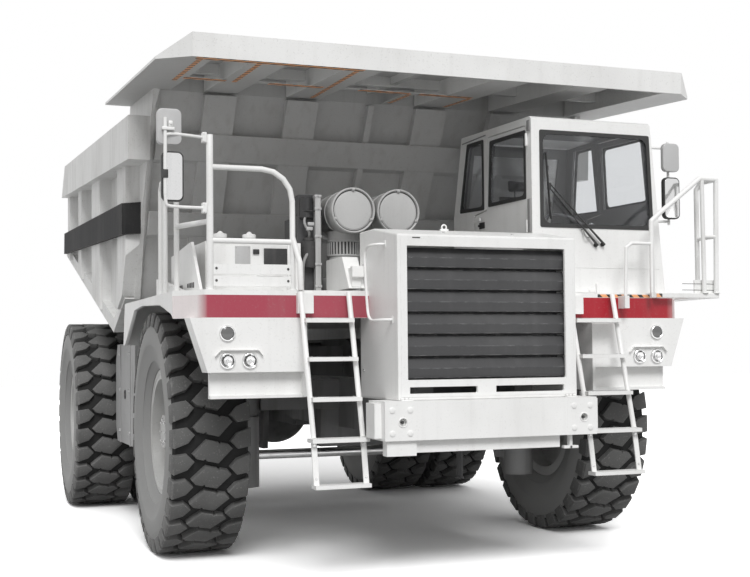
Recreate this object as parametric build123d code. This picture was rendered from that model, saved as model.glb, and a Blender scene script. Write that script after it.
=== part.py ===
from build123d import *
import math
import os

os.makedirs("parts", exist_ok=True)

# Driving dimensions, mm. X is the truck's left, the front faces -Y, Z is up and the ground is Z = 0.
# All sizes below are taken from the front axle line and shifted once when a node is written.
FRONT_Y = -2410.0
TAIL_Y = 6700.0
SHIFT_Y = -(FRONT_Y + TAIL_Y) / 2
WHEELBASE = 4070.0
SEAT = 0.3

TYRE_R = 1075.0
TYRE_HALF_W = 345.0
BEAD_R = 540.0
AXLE_Z = TYRE_R
FRONT_TYRE_X = 1915.0
REAR_TYRE_OUT_X = 2215.0
REAR_TYRE_IN_X = 1445.0
KINGPIN_X = 1400.0
KINGPIN_TOP = 1190.0

DECK_TOP = 2265.0
DECK_LOW = 2045.0
DECK_FACE_Y = -1690.0
DECK_X = 2110.0
FENDER_X = 2310.0
SKIRT_LOW = 1620.0
SHEET = 30.0

BUMPER_X = 905.0
BUMPER_TOP = 1395.0
BUMPER_LOW = 1097.0

HOUSING_X = 768.0
HOUSING_FACE_Y = -2340.0
HOUSING_LOW = 1395.3
HOUSING_TOP = 2670.0

CAB_X0 = 790.0
CAB_X1 = 2050.0
CAB_Y0 = -1560.0
CAB_Y1 = 60.0
CAB_TOP = 3820.0
WALL = 45.0

HINGE_Y = 5300.0
HINGE_Z = 1850.0
BODY_X = 2200.0
RAIL_X = 2400.0
RIB_X = 2320.0
BAND_X = 2360.0
PLATE = 60.0
CANOPY_FRONT_Y = -1740.0
CANOPY_LOW = 4060.0
CANOPY_SLOPE = 0.07


def block(x0, x1, y0, y1, z0, z1):
    return Pos((x0 + x1) / 2, (y0 + y1) / 2, (z0 + z1) / 2) * Box(abs(x1 - x0), abs(y1 - y0), abs(z1 - z0))


def prism(plane, points, start, end):
    """A polygon drawn on a plane through the origin and pushed along its normal from start to end."""
    face = make_face(Polyline(*[plane.from_local_coords((a, b, 0)) for a, b in points], close=True))
    solid = extrude(face, amount=end - start, dir=plane.z_dir)
    return Pos(*(plane.z_dir * start)) * solid


def side_cut(points, x0, x1):
    """Outline in Y and Z, thick along X."""
    return prism(Plane.YZ, points, x0, x1)


def front_cut(points, y0, y1):
    """Outline in X and Z, thick along Y."""
    flat = Plane((0, 0, 0), x_dir=(-1, 0, 0), z_dir=(0, 1, 0))
    return prism(flat, [(-x, z) for x, z in points], y0, y1)


def plan_cut(points, z0, z1):
    """Outline in X and Y, thick along Z."""
    return prism(Plane.XY, points, z0, z1)


def rod(start, end, radius):
    a = Vector(*start)
    b = Vector(*end)
    return Plane(a, z_dir=b - a) * Cylinder(radius, (b - a).length,
                                            align=(Align.CENTER, Align.CENTER, Align.MIN))


def pipe(points, radius):
    """A bent pipe: straight lengths with a ball in each corner."""
    shape = rod(points[0], points[1], radius)
    for a, b in zip(points[1:-1], points[2:]):
        shape = shape + Pos(*a) * Sphere(radius) + rod(a, b, radius)
    return shape


def across(x0, x1, y, z, radius):
    """A cylinder that lies along X."""
    return rod((x0, y, z), (x1, y, z), radius)


def mirrored(shape):
    return mirror(shape, about=Plane.YZ)


def lines(points):
    return make_face(Polyline(*points, close=True))


def turned(profile, x, y, z):
    """Spin an outline given as offset along X and radius about the wheel's axle."""
    face = make_face(Polyline(*[(a, 0, r) for a, r in profile], close=True))
    return Pos(x, y, z) * revolve(face, axis=Axis.X)


written = []


def save(name, shape):
    solids = shape.solids()
    solid = solids[0] if len(solids) == 1 else Compound(children=list(solids))
    moved = Pos(0, SHIFT_Y, 0) * solid
    export_step(moved, "parts/" + name + ".step")
    box = moved.bounding_box()
    written.append(name)
    print(name, len(solids), [round(v) for v in (*box.min, *box.max)], flush=True)


# Tyres and rims
LUG_ROWS = 16
LUG_R = 1071.3


def tyre(x, y):
    half = [(BEAD_R, 221.6), (556.4, 221.6), (556.4, 240), (640, 300), (760, TYRE_HALF_W - 5),
            (900, TYRE_HALF_W - 5), (1010, 322), (1032, 285)]
    outline = [(w, r) for r, w in half] + [(-w, r) for r, w in reversed(half)]
    ring = turned(outline, 0, 0, 0)
    step = 360.0 / LUG_ROWS
    lug = Pos(168, 0, 1010) * Box(310, 250, 2 * (LUG_R - 1010))
    for side in (1, -1):
        for k in range(LUG_ROWS):
            turn = k * step + (step / 2 if side < 0 else 0)
            piece = lug if side > 0 else Rot(0, 0, 180) * lug
            ring = ring + Rot(turn, 0, 0) * piece
    return Pos(x, y, AXLE_Z) * ring


def rim_ring(x, dish, out, y):
    """One rim: a flanged ring with a disc. dish is the disc's place inside the ring, out the outer side."""
    ring = turned([(-236, 470), (236, 470), (236, 556), (222, 556), (222, BEAD_R - SEAT),
                   (-222, BEAD_R - SEAT),
                   (-222, 556), (-236, 556)], 0, 0, 0)
    disc = across(dish * out - 20, dish * out + 20, 0, 0, 480)
    return Pos(x, y, AXLE_Z) * (ring + disc)


def front_rim(side):
    x = side * FRONT_TYRE_X
    rim = rim_ring(x, -60, side, 0)
    hub = across(x - side * 200, x + side * 150, 0, AXLE_Z, 250)
    cap = across(x + side * 140, x + side * 215, 0, AXLE_Z, 150)
    bore = across(x - side * 210, x + side * 60, 0, AXLE_Z, 110.5)
    return rim + hub + cap - bore


def rear_rims(side):
    outer = rim_ring(side * REAR_TYRE_OUT_X, -120, side, WHEELBASE)
    inner = rim_ring(side * REAR_TYRE_IN_X, 120, side, WHEELBASE)
    drum = across(side * 1300, side * (REAR_TYRE_OUT_X + 110), WHEELBASE, AXLE_Z, 330)
    cap = across(side * (REAR_TYRE_OUT_X + 100), side * (REAR_TYRE_OUT_X + 200), WHEELBASE, AXLE_Z, 200)
    bore = across(side * 1290, side * 2150, WHEELBASE, AXLE_Z, 200.5)
    return outer + inner + drum + cap - bore


for side, word in ((-1, "right"), (1, "left")):
    save("front_tyre_" + word, tyre(side * FRONT_TYRE_X, 0))
    save("front_rim_" + word, front_rim(side))
    save("rear_tyre_outer_" + word, tyre(side * REAR_TYRE_OUT_X, WHEELBASE))
    save("rear_tyre_inner_" + word, tyre(side * REAR_TYRE_IN_X, WHEELBASE))
    save("rear_rims_" + word, rear_rims(side))

# Frame: two box rails that rise over the rear axle, cross members and the dump hinge pin
RAIL_IN = 360.0
RAIL_OUT = 520.0
rail = side_cut([(-2050 + SEAT, 1080), (1500, 1080), (2500, 1400), (5520, 1400), (5520, 1930), (2300, 1930),
                 (1250, 1540), (-2050 + SEAT, 1540)], RAIL_IN, RAIL_OUT)
frame = rail + mirrored(rail)
for y, z0, z1 in ((-1900, 1150, 1390), (-620, 1100, 1250), (650, 1120, 1480), (2450, 1450, 1850),
                  (3300, 1450, 1900),
                  (5000, 1450, 1900)):
    frame = frame + block(-RAIL_IN - 10, RAIL_IN + 10, y - 90, y + 90, z0, z1)
PIN_R = 70.0
frame = frame + across(-640, 640, HINGE_Y, HINGE_Z, PIN_R)
# Brackets that hold the lower ends of the hoists
HOIST_X = 800.0
LOW_PIN_Y = 2600.0
LOW_PIN_Z = 800.0
for side in (-1, 1):
    arm = side_cut([(2300, 1700), (2430, 700), (2700, 700), (2900, 1700)], 0, 60)
    frame = frame + Pos(side * 550 - 30, 0, 0) * arm
    frame = frame + across(side * 540, side * 900, LOW_PIN_Y, LOW_PIN_Z, 55)
save("frame_rails", frame)

# Front cross tube with the collars of the suspension struts
front_axle = block(-1270, 1270, -150, 150, 1250, 1520)
front_axle = front_axle - block(RAIL_IN - SEAT, RAIL_OUT + SEAT, -200, 200, 1079, 1541)
front_axle = front_axle - block(-RAIL_OUT - SEAT, -RAIL_IN + SEAT, -200, 200, 1079, 1541)
front_axle = front_axle + block(-700, 700, -140, 140, 900, 1080 - SEAT)
for side in (-1, 1):
    front_axle = front_axle + block(side * RAIL_OUT + side * SEAT, side * 700, -140, 140, 900, 1400)
    front_axle = front_axle + rod((side * KINGPIN_X, 0, KINGPIN_TOP + SEAT), (side * KINGPIN_X, 0, 1960), 125)
    front_axle = front_axle + rod((side * KINGPIN_X, 0, 1220), (side * KINGPIN_X, 0, 1580), 152)
save("front_axle", front_axle)


def knuckle(side):
    post = rod((side * KINGPIN_X, 0, 550), (side * KINGPIN_X, 0, KINGPIN_TOP), 145)
    spindle = across(side * KINGPIN_X, side * (FRONT_TYRE_X + 40), 0, AXLE_Z, 110)
    arm = block(side * KINGPIN_X - 60, side * KINGPIN_X + 60, 0, 430, 690, 760)
    return post + spindle + arm


save("knuckle_right", knuckle(-1))
save("knuckle_left", knuckle(1))
TIE_Y = 380.0
TIE_Z = 805.5
tie = across(-KINGPIN_X - 50, KINGPIN_X + 50, TIE_Y, TIE_Z, 45)
save("tie_rod", tie)

# Rear axle with its centre case, spindles, thrust arm and struts
AXLE_END_X = REAR_TYRE_OUT_X - 85
CASE_R = 430.0
rear_axle = across(-AXLE_END_X, AXLE_END_X, WHEELBASE, AXLE_Z, 200)
rear_axle = rear_axle + Pos(0, WHEELBASE, AXLE_Z) * Sphere(CASE_R)
rear_axle = rear_axle + block(-180, 180, 2500, WHEELBASE - CASE_R + 120, 960, 1180)
rear_axle = rear_axle + block(-230, 230, 2300, 2560, 960, 1290)
rear_axle = rear_axle + block(-230, 230, 2350, 2540, 1280, 1450 - SEAT)
for side in (-1, 1):
    rear_axle = rear_axle + block(side * 760 - 110, side * 760 + 110, WHEELBASE, WHEELBASE + 420, 1000, 1200)
    rear_axle = rear_axle + rod((side * 760, WHEELBASE + 320, 1190), (side * 760, WHEELBASE + 320, 1500), 80)
    rear_axle = rear_axle + rod((side * 760, WHEELBASE + 320, 1490), (side * 760, WHEELBASE + 320, 1880), 110)
    rear_axle = rear_axle + block(side * (RAIL_OUT + SEAT), side * 780, WHEELBASE + 260, WHEELBASE + 380,
                                  1700, 1850)
save("rear_axle", rear_axle)

# Engine, one plain block of real size
ENGINE_TOP = 2200.0
save("engine_block", block(-RAIL_IN + 20, RAIL_IN - 20, -1700, -250, 1250 + SEAT, ENGINE_TOP))

# Front bumper with its lower plate and bracket, and a tow plate bolted on at each end, bored for a pin
TOW_PLATE = 30.0
TOW_X = (-760.0, 790.0)
TOW_Z = 1235.0
TOW_R = 30.0
TOW_EDGE = 640.0
bumper = block(-BUMPER_X, BUMPER_X, FRONT_Y + TOW_PLATE + SEAT, -2050, BUMPER_LOW, BUMPER_TOP)
bumper = bumper + block(-TOW_EDGE + SEAT, TOW_EDGE - SEAT, FRONT_Y, FRONT_Y + TOW_PLATE + 1, BUMPER_LOW,
                        BUMPER_TOP)
bumper = bumper + block(-960, 960, -2330, -2140, 1115, 1380)
bumper = bumper + block(-650, 600, -2350, -2100, 1000, 1110)
bumper = bumper + block(-880, -640, FRONT_Y + TOW_PLATE + SEAT, -2290, 980, 1110)
tow_plates = []
for side, x in zip((-1, 1), TOW_X):
    plate = block(side * TOW_EDGE, side * BUMPER_X, FRONT_Y, FRONT_Y + TOW_PLATE, BUMPER_LOW, BUMPER_TOP)
    tow_plates.append(plate - rod((x, FRONT_Y - 10, TOW_Z), (x, FRONT_Y + TOW_PLATE + 10, TOW_Z), TOW_R))
save("front_bumper", Compound(children=[bumper.solid(), *[plate.solid() for plate in tow_plates]]))

# Radiator housing, its louvres and the sloping hood behind it
LOUVRE_X0 = -690.0
LOUVRE_X1 = 670.0
LOUVRE_Z0 = 1552.0
LOUVRE_Z1 = 2580.0
outer = side_cut([(HOUSING_FACE_Y, HOUSING_LOW), (-1480, HOUSING_LOW), (-1480, 2760), (-1800, 2760),
                  (HOUSING_FACE_Y, HOUSING_TOP)], -HOUSING_X, HOUSING_X)
outer = outer - side_cut([(HOUSING_FACE_Y + SHEET, HOUSING_LOW - 10), (-1400, HOUSING_LOW - 10),
                          (-1400, 2730),
                          (-1795, 2730), (HOUSING_FACE_Y + SHEET, HOUSING_TOP - SHEET)],
                         -HOUSING_X + SHEET, HOUSING_X - SHEET)
outer = outer - block(LOUVRE_X0, LOUVRE_X1, HOUSING_FACE_Y - 10, HOUSING_FACE_Y + 40, LOUVRE_Z0, LOUVRE_Z1)
for x0, x1 in ((-675, -110), (50, 650)):
    outer = outer - block(x0, x1, HOUSING_FACE_Y - 10, HOUSING_FACE_Y + 40, 1447, 1497)
save("radiator_housing", outer)

BLADES = 6
blade_pitch = (LOUVRE_Z1 - LOUVRE_Z0) / BLADES
louvres = block(LOUVRE_X0 + 10, LOUVRE_X1 - 10, HOUSING_FACE_Y + 120, HOUSING_FACE_Y + 150, LOUVRE_Z0 + 5,
                LOUVRE_Z1 - 5)
for k in range(BLADES):
    z = LOUVRE_Z0 + k * blade_pitch
    louvres = louvres + side_cut([(HOUSING_FACE_Y + 125, z + 6), (HOUSING_FACE_Y + 45, z + 12),
                                  (HOUSING_FACE_Y + SHEET + SEAT, z + blade_pitch * 0.5),
                                  (HOUSING_FACE_Y + 75, z + blade_pitch - 8),
                                  (HOUSING_FACE_Y + 125,
                                   z + blade_pitch - 8)], LOUVRE_X0 - 20, LOUVRE_X1 + 20)
save("grille_louvres", louvres)


# Deck and fenders: top plate, front face band with clipped corners, lamp panels and wheel arch sides
def deck(side):
    top = plan_cut([(HOUSING_X + SEAT, DECK_FACE_Y), (DECK_X, DECK_FACE_Y), (FENDER_X, -1420),
                    (FENDER_X, 1050),
                    (1640, 1050), (1640, 200), (HOUSING_X + SEAT, 200)], DECK_TOP - SHEET, DECK_TOP)
    band = plan_cut([(HOUSING_X + SEAT, DECK_FACE_Y), (DECK_X, DECK_FACE_Y), (FENDER_X, -1420),
                     (FENDER_X - SHEET, -1410), (DECK_X - 12, DECK_FACE_Y + SHEET),
                     (HOUSING_X + SEAT, DECK_FACE_Y + SHEET)], DECK_LOW, DECK_TOP)
    lamps = front_cut([(1290, SKIRT_LOW), (DECK_X - 20, SKIRT_LOW), (2230, DECK_LOW), (1290, DECK_LOW)],
                      DECK_FACE_Y, DECK_FACE_Y + SHEET)
    corner = front_cut([(DECK_X - 60, SKIRT_LOW), (DECK_X - 20, SKIRT_LOW), (2230, DECK_LOW),
                        (2180, DECK_LOW)],
                       DECK_FACE_Y, -1480)
    inner = block(1290, 1320, DECK_FACE_Y, -1330, SKIRT_LOW - 200, DECK_LOW + 10)
    step = block(1290, 2060, -1600, -1560, 1415, SKIRT_LOW + 10) + block(1290, 2060, -1640, -1560, 1415, 1440)
    shelf = block(1290, DECK_X - 40, DECK_FACE_Y, -1560, SKIRT_LOW, SKIRT_LOW + SHEET)
    arch = side_cut([(-1425, 2045), (-1350, 2085), (-850, 2175), (50, 2205), (500, 2180), (1080, 1860),
                     (1180, 1860),
                     (1080, 2262), (-1425, 2262)], FENDER_X - SHEET, FENDER_X)
    flap = side_cut([(1080, 1860), (1110, 1860), (1080, 2262), (1030, 2262)], 1640, FENDER_X)
    curb = side_cut([(-1300, 2260), (0, 2260), (0, 2440), (-60, 2440)], FENDER_X - 160, FENDER_X - 120)
    back = block(1640, 1670, 190, 1060, 2180, 2262)
    edge = curb if side < 0 else top
    return top + band + lamps + corner + inner + step + shelf + arch + flap + back + edge


save("deck_right", mirrored(deck(-1)))
save("deck_left", deck(1))

# Centre deck behind the housing and the rear edge under the cab
centre = block(-HOUSING_X + SEAT, HOUSING_X - SEAT, -1480 + SEAT, 200, DECK_TOP - SHEET, DECK_TOP)
centre = centre + block(-300, 300, -1450, -200, 2210, DECK_TOP)
save("deck_centre", centre)

# Headlamps: one above a pair on each lamp panel
LAMP_R = 63.0
lamps = None
for side in (-1, 1):
    for x, z in ((1937, 1925), (1937, 1711), (1759, 1711)):
        lamp = Pos(side * x, DECK_FACE_Y - SEAT, z) * Rot(90, 0, 0) * Cylinder(
            LAMP_R, 22, align=(Align.CENTER, Align.CENTER, Align.MIN))
        lamps = lamp if lamps is None else lamps + lamp
save("headlamps", lamps)


# Ladders: two leaning rails, flat steps and a lower step hung on straps
def ladder(x0, x1, turned_out):
    lean = 0.278
    foot_z = 1110.0
    top_z = 2250.0

    def y_at(z):
        return -2050.0 - (1110.0 - z) * 0.20 if z < 1110 else -2050.0 + (z - 1110.0) * lean
    shape = None
    for x in (x0, x1):
        leg = rod((x, y_at(foot_z), foot_z), (x, y_at(top_z), top_z), 21)
        shape = leg if shape is None else shape + leg
        shape = shape + side_cut([(y_at(1110) - 6, 1120), (y_at(1110) + 6, 1120), (y_at(750) + 6, 750),
                                  (y_at(750) - 6, 750)], x - 22, x + 22)
    for z in (1080, 1390, 1700, 2005):
        wide = 30 if z == 1080 else 0
        shape = shape + block(x0 - wide, x1 + wide, y_at(z) - 75, y_at(z) + 75, z, z + 32)
    shape = shape + block(x0 - 22, x1 + 22, y_at(750) - 60, y_at(750) + 60, 735, 765)
    return shape


RIGHT_LADDER = (-1355.0, -955.0)
LEFT_LADDER = (1040.0, 1470.0)
save("ladder_right", ladder(*RIGHT_LADDER, 0) + block(-1380, -1250, -1740, DECK_FACE_Y - SEAT, 2080, 2240))
save("ladder_left", ladder(*LEFT_LADDER, 0) + block(1060, 1180, -1740, DECK_FACE_Y - SEAT, 2080, 2240))

# Handrail on the right of the deck with its toe board, and the hoop by the fender
PIPE_R = 22.0
FLOOR = DECK_TOP + SEAT
rail_y = -1640.0
right_rail = rod((-2058, rail_y, FLOOR), (-2058, rail_y, 3477), 27)
arc = [(-2058, rail_y, 3225), (-1640, rail_y, 3225)]
for k in range(1, 5):
    a = math.radians(90 - 22.5 * k)
    arc.append((-1640 + 248 * math.cos(a), rail_y, 2977 + 248 * math.sin(a)))
arc.append((-1392, rail_y, FLOOR))
right_rail = right_rail + pipe(arc, PIPE_R)
right_rail = right_rail + rod((-2058, rail_y, 2650), (-1392, rail_y, 2650), PIPE_R)
right_rail = right_rail + pipe([(-1392, rail_y, 2690), (-1355, -1720, 2480), (-1355, -1745, 2262)], PIPE_R)
for z in (2330, 2425):
    right_rail = right_rail + block(-2050, -1392, rail_y - 10, rail_y + 10, z - 36, z + 44)
for y0, y1, peak in ((-1150, -640, 3120), (-640, -430, 3240)):
    right_rail = right_rail + pipe([(-2226, y0, FLOOR), (-2226, y0, peak - 60),
                                    (-2226, y0 + 60, peak), (-2226, y1 - 60, peak), (-2226, y1, peak - 60),
                                    (-2226, y1, FLOOR)], PIPE_R)
right_rail = right_rail + rod((-2226, -1150, 2800), (-2058, rail_y, 2800), PIPE_R)
save("handrail_right", right_rail)

# Access platform and its handrail on the left
PLATFORM_X = 2560.0
platform = block(FENDER_X + SEAT, PLATFORM_X, -1740, -250, 2225, 2268)
platform = platform + block(1900, PLATFORM_X, -1765, -1740, 2225, 2268)
platform = platform + block(1900, 1960, -1745, DECK_FACE_Y - SEAT, 2225, 2268)
platform = platform + block(FENDER_X - 60, PLATFORM_X, -1742, -1700, 2225, 2264)
platform = platform + block(FENDER_X + 20, PLATFORM_X, -1718, -1703, 2268, 2390)
platform = platform + block(FENDER_X + 10, FENDER_X + 120, -1200, -1100, 2100, 2230)
save("platform_left", platform)
HOOP_Y = -1470.0
left_rail = pipe([(1850, -1780, 2235), (1850, -1780, 2900), (1925, -1780, 2965), (2370, -1765, 3300),
                  (2553, -1755, 3300), (2553, -1520, 3300), (2538, HOOP_Y, 3240),
                  (2538, HOOP_Y, 2268 + SEAT)], PIPE_R)
POST_R = PIPE_R - 2
for top, foot in (((2395, -1763, 3300), (2412, -1750)), ((2553, -1755, 3290), (2538, -1752))):
    left_rail = left_rail + pipe([top, (*foot, 2330), (*foot, 2268 + SEAT)], POST_R)
left_rail = left_rail + rod((2412, -1755, 2780), (2545, -1755, 2780), 15)
left_rail = left_rail + rod((2545, -1755, 2780), (2538, HOOP_Y, 2780), 15)
left_rail = left_rail + pipe([(2553, -1755, 3300), (2538, -1752, 2330), (2538, -1752, 2268 + SEAT)], PIPE_R)
left_rail = left_rail + pipe([(1570, -1790, 2230), (1585, -1790, 2660), (1640, -1790, 2700),
                              (1850, -1780, 2700)], 15)
left_rail = left_rail + block(1555, 1600, -1805, DECK_FACE_Y - SEAT, 2130, 2240)
left_rail = left_rail + block(1830, 1870, -1800, -1765 - SEAT, 2225, 2268)
save("handrail_left", left_rail)


# Mirrors: a head on a bent tube clamped to a post
def mirror_head(x, y, z0, z1, width):
    return block(x - width / 2, x + width / 2, y - 25, y + 25, z0, z1)


right_mirror = mirror_head(-2385, -1690, 3370, 3650, 190) + mirror_head(-2360, -1690, 2935, 3320, 170)
right_mirror = right_mirror + rod((-2420, -1730, 2940), (-2420, -1730, 3570), 14)
right_mirror = right_mirror + pipe([(-2420, -1730, 3440), (-2340, -1730, 3450), (-2090, rail_y, 3450)], 14)
right_mirror = right_mirror + pipe([(-2420, -1730, 2960), (-2380, -1730, 2900), (-2090, rail_y, 2900)], 14)
right_mirror = (right_mirror + block(-2435, -2360, -1735, -1700, 3470, 3510)
                + block(-2435, -2360, -1735, -1700, 3120, 3160))
for z in (3450, 2900):
    right_mirror = right_mirror + block(-2120, -2058 - 27 - SEAT, rail_y - 20, rail_y + 20, z - 30, z + 30)
save("mirrors_right", right_mirror)

# Air cleaners side by side behind the housing, the deck box and the service unit next to it
air = None
for x, y in ((-690, -1080), (-275, -1080)):
    can = rod((x, y, 2990), (x, y + 620, 2990), 190) + rod((x, y - 25, 2990), (x, y + 35, 2990), 198)
    neck = rod((x, y + 260, 2380), (x, y + 260, 2900), 140)
    air = can + neck if air is None else air + can + neck
air = air + block(-860, -100, -900, -500, DECK_TOP + SEAT, 2420)
save("air_cleaners", air)
box = block(-1990, -1180, -1150, -520, FLOOR, 2690)
for x in (-1810, -1560):
    box = box + rod((x, -900, 2680), (x, -900, 2745), 50)
box = box + side_cut([(-1500, FLOOR), (-300, FLOOR), (-300, 2620), (-1150, 2680)], -2110, -2085)
box = box + block(-2090, -1985, -900, -800, FLOOR, 2400)
save("deck_box", box)
unit = block(-1130, -905, -880, -480, FLOOR, 2950) + block(-1110, -960, -860, -620, 2940, 3140)
unit = unit + block(-990, -940, -960, -900, FLOOR, 3130) + block(-990, -940, -960, -800, 3080, 3130)
save("service_unit", unit)
wedge = side_cut([(-1600, 2290), (-990, 2290), (-990, 2560), (-1420, 2560)], -905, -HOUSING_X - SEAT * 2)
save("side_locker", wedge + block(-890, -790, -1640, -1590, 2380, 2470)
     + block(-880, -800, -1600, -1500, 2300, 2460))


# Side tanks between the wheels
def tank(side):
    shape = side_cut([(1480, 1880), (1480, 1150), (1640, 830), (2700, 830), (2820, 1000), (2820, 1700),
                      (2700, 1880)],
                     1020, 2150)
    straps = None
    for y in (1800, 2480):
        strap = block(1015, 2156, y - 30, y + 30, 824, 1886)
        straps = strap if straps is None else straps + strap
    shape = shape + straps + rod((1900, 2100, 1860), (1900, 2100, 1930), 60)
    shape = shape + block(RAIL_OUT + SEAT, 1040, 1600, 1700, 1250, 1450)
    shape = shape + block(RAIL_OUT + SEAT, 1040, 2150, 2250, 1450, 1650)
    return mirrored(shape) if side < 0 else shape


save("side_tank_right", tank(-1))
save("side_tank_left", tank(1))

# Tail lamps on the ends of the frame rails
tail = block(380, 500, 5520 + SEAT, 5580, 1560, 1680)
save("tail_lamps", tail + mirrored(tail))

# Cab: a hollow shell that leans in on its outer side, with the window and door openings cut
CAB_FLOOR = DECK_TOP + SEAT
FRONT_DOOR_Y = -1480.0
DOOR_LOW = 2330.0
DOOR_GAP = 8.0
cab_side = [(CAB_Y0, CAB_FLOOR), (130, CAB_FLOOR), (130, 3080), (-80, 3862), (CAB_Y0 + 30, 3815),
            (CAB_Y0, 3790)]
cab_side_in = [(CAB_Y0 + WALL, CAB_FLOOR + 40), (130 - WALL, CAB_FLOOR + 40), (130 - WALL, 3075),
               (-115, 3815),
               (CAB_Y0 + WALL, 3770)]
OUT_LOW = 2125.0
OUT_HIGH = 1985.0
OUT_RISE = 3870.0 - CAB_FLOOR


def outer_x(z):
    return OUT_LOW + (OUT_HIGH - OUT_LOW) * (z - CAB_FLOOR) / OUT_RISE


def leaning(depth, thick):
    """A slab along the leaning outer side: depth in from its face, and how thick."""
    a = CAB_FLOOR - 50
    b = 4000.0
    return front_cut([(outer_x(a) - depth, a), (outer_x(b) - depth, b), (outer_x(b) - depth - thick, b),
                      (outer_x(a) - depth - thick, a)], -1700, 300)


cab_front = [(CAB_X0, CAB_FLOOR), (OUT_LOW, CAB_FLOOR), (OUT_HIGH, 3870), (CAB_X0, 3870)]
cab_front_in = [(CAB_X0 + WALL, CAB_FLOOR), (OUT_LOW - WALL, CAB_FLOOR), (OUT_HIGH - WALL, 3870),
                (CAB_X0 + WALL, 3870)]
shell = side_cut(cab_side, CAB_X0, OUT_LOW) & front_cut(cab_front, CAB_Y0, 130)
hollow = side_cut(cab_side_in, CAB_X0, OUT_LOW) & front_cut(cab_front_in, CAB_Y0, 130)
screen = [(880, 2905), (925, 2855), (1945, 2855), (2000, 2905), (1965, 3640), (1920, 3685), (925, 3685),
          (880, 3640)]
door_line = [(FRONT_DOOR_Y, DOOR_LOW), (-360, DOOR_LOW), (-360, 3060), (-635, 3085), (-680, 3765),
             (-1430, 3742),
             (FRONT_DOOR_Y, 3700)]
door_hole = [(FRONT_DOOR_Y - DOOR_GAP, DOOR_LOW - DOOR_GAP), (-360 + DOOR_GAP, DOOR_LOW - DOOR_GAP),
             (-360 + DOOR_GAP, 3060 + DOOR_GAP), (-635 + DOOR_GAP, 3085 + DOOR_GAP),
             (-680 + DOOR_GAP, 3765 + DOOR_GAP),
             (-1430 - DOOR_GAP, 3742 + DOOR_GAP), (FRONT_DOOR_Y - DOOR_GAP, 3700 + DOOR_GAP)]
door_pane = [(-1440, 3110), (-690, 3125), (-735, 3715), (-1400, 3695), (-1440, 3660)]
rear_pane = [(-575, 3110), (-45, 3135), (-225, 3765), (-575, 3755)]
BACK_X0, BACK_X1 = 930.0, 1860.0
BACK_Z0, BACK_Z1 = 3050.0, 3700.0
back_pane = [(BACK_X0, BACK_Z0), (BACK_X1, BACK_Z0), (BACK_X1, BACK_Z1), (BACK_X0, BACK_Z1)]
shell = shell - hollow
shell = shell - front_cut(screen, CAB_Y0 - 10, CAB_Y0 + WALL + 20)
shell = shell - front_cut(back_pane, -300, 200)
for x0, x1 in ((CAB_X0 - 10, CAB_X0 + WALL + 10), (OUT_HIGH - 80, OUT_LOW + 60)):
    shell = shell - side_cut(door_hole, x0, x1) - side_cut(rear_pane, x0, x1)
save("cab_shell", shell)


def inset(points, by):
    """The same outline drawn in towards its middle by about this much on every side."""
    cx = sum(a for a, b in points) / len(points)
    cy = sum(b for a, b in points) / len(points)
    wide = max(a for a, b in points) - min(a for a, b in points)
    high = max(b for a, b in points) - min(b for a, b in points)
    return [(cx + (a - cx) * (1 - 2 * by / wide), cy + (b - cy) * (1 - 2 * by / high)) for a, b in points]


PANE = 8.0
glass = front_cut(inset(screen, 0.35), CAB_Y0 + 15, CAB_Y0 + 15 + PANE)
glass = glass + side_cut(inset(rear_pane, 0.6), CAB_X0 + 15, CAB_X0 + 15 + PANE)
glass = glass + (side_cut(inset(rear_pane, 0.6), OUT_HIGH - 100, OUT_LOW + 60) & leaning(15, PANE))
glass = glass + side_cut([(105, BACK_Z0 + SEAT), (113, BACK_Z0 + SEAT), (-59, BACK_Z1 - SEAT),
                          (-67, BACK_Z1 - SEAT)],
                         BACK_X0 + SEAT, BACK_X1 - SEAT)
save("cab_glass", glass)

left_mirror = mirror_head(2200, -1560, 2950, 3330, 170) + mirror_head(2200, -1560, 3380, 3640, 170)
left_mirror = left_mirror + rod((2200, -1525, 2900), (2200, -1525, 3660), 14)
for z in (2930, 3600):
    left_mirror = left_mirror + rod((2200, -1525, z), (outer_x(z - 14) + SEAT, -1525, z), 14)
save("mirrors_left", left_mirror)

# Operator's chair, dash and steering wheel
fit_floor = CAB_FLOOR + 40 + SEAT
dash = side_cut([(-1505, fit_floor), (-1280, fit_floor), (-1180, 2720), (-1200, 2790), (-1505, 2850)], 860,
                2010)
column = rod((1420, -1250, 2650), (1420, -1010, 2885), 35)
wheel = Pos(1420, -1000, 2895) * Rot(45, 0, 0) * Torus(215, 16)
wheel = wheel + Pos(1420, -1000, 2895) * Rot(45, 0, 0) * Box(400, 40, 16)
chair = block(1220, 1620, -640, -260, fit_floor, 2560) + block(1170, 1670, -740, -220, 2550, 2680)
chair = chair + side_cut([(-300, 2600), (-180, 2620), (-90, 3300), (-180, 3310)], 1190, 1650)
chair = chair + block(1260, 1580, -160, -90, 3250, 3480)
save("cab_fittings", dash + column + wheel + chair)


def door_panel(x0, x1):
    return side_cut(door_line, x0, x1) - side_cut(door_pane, x0 - 10, x1 + 10)


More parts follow.
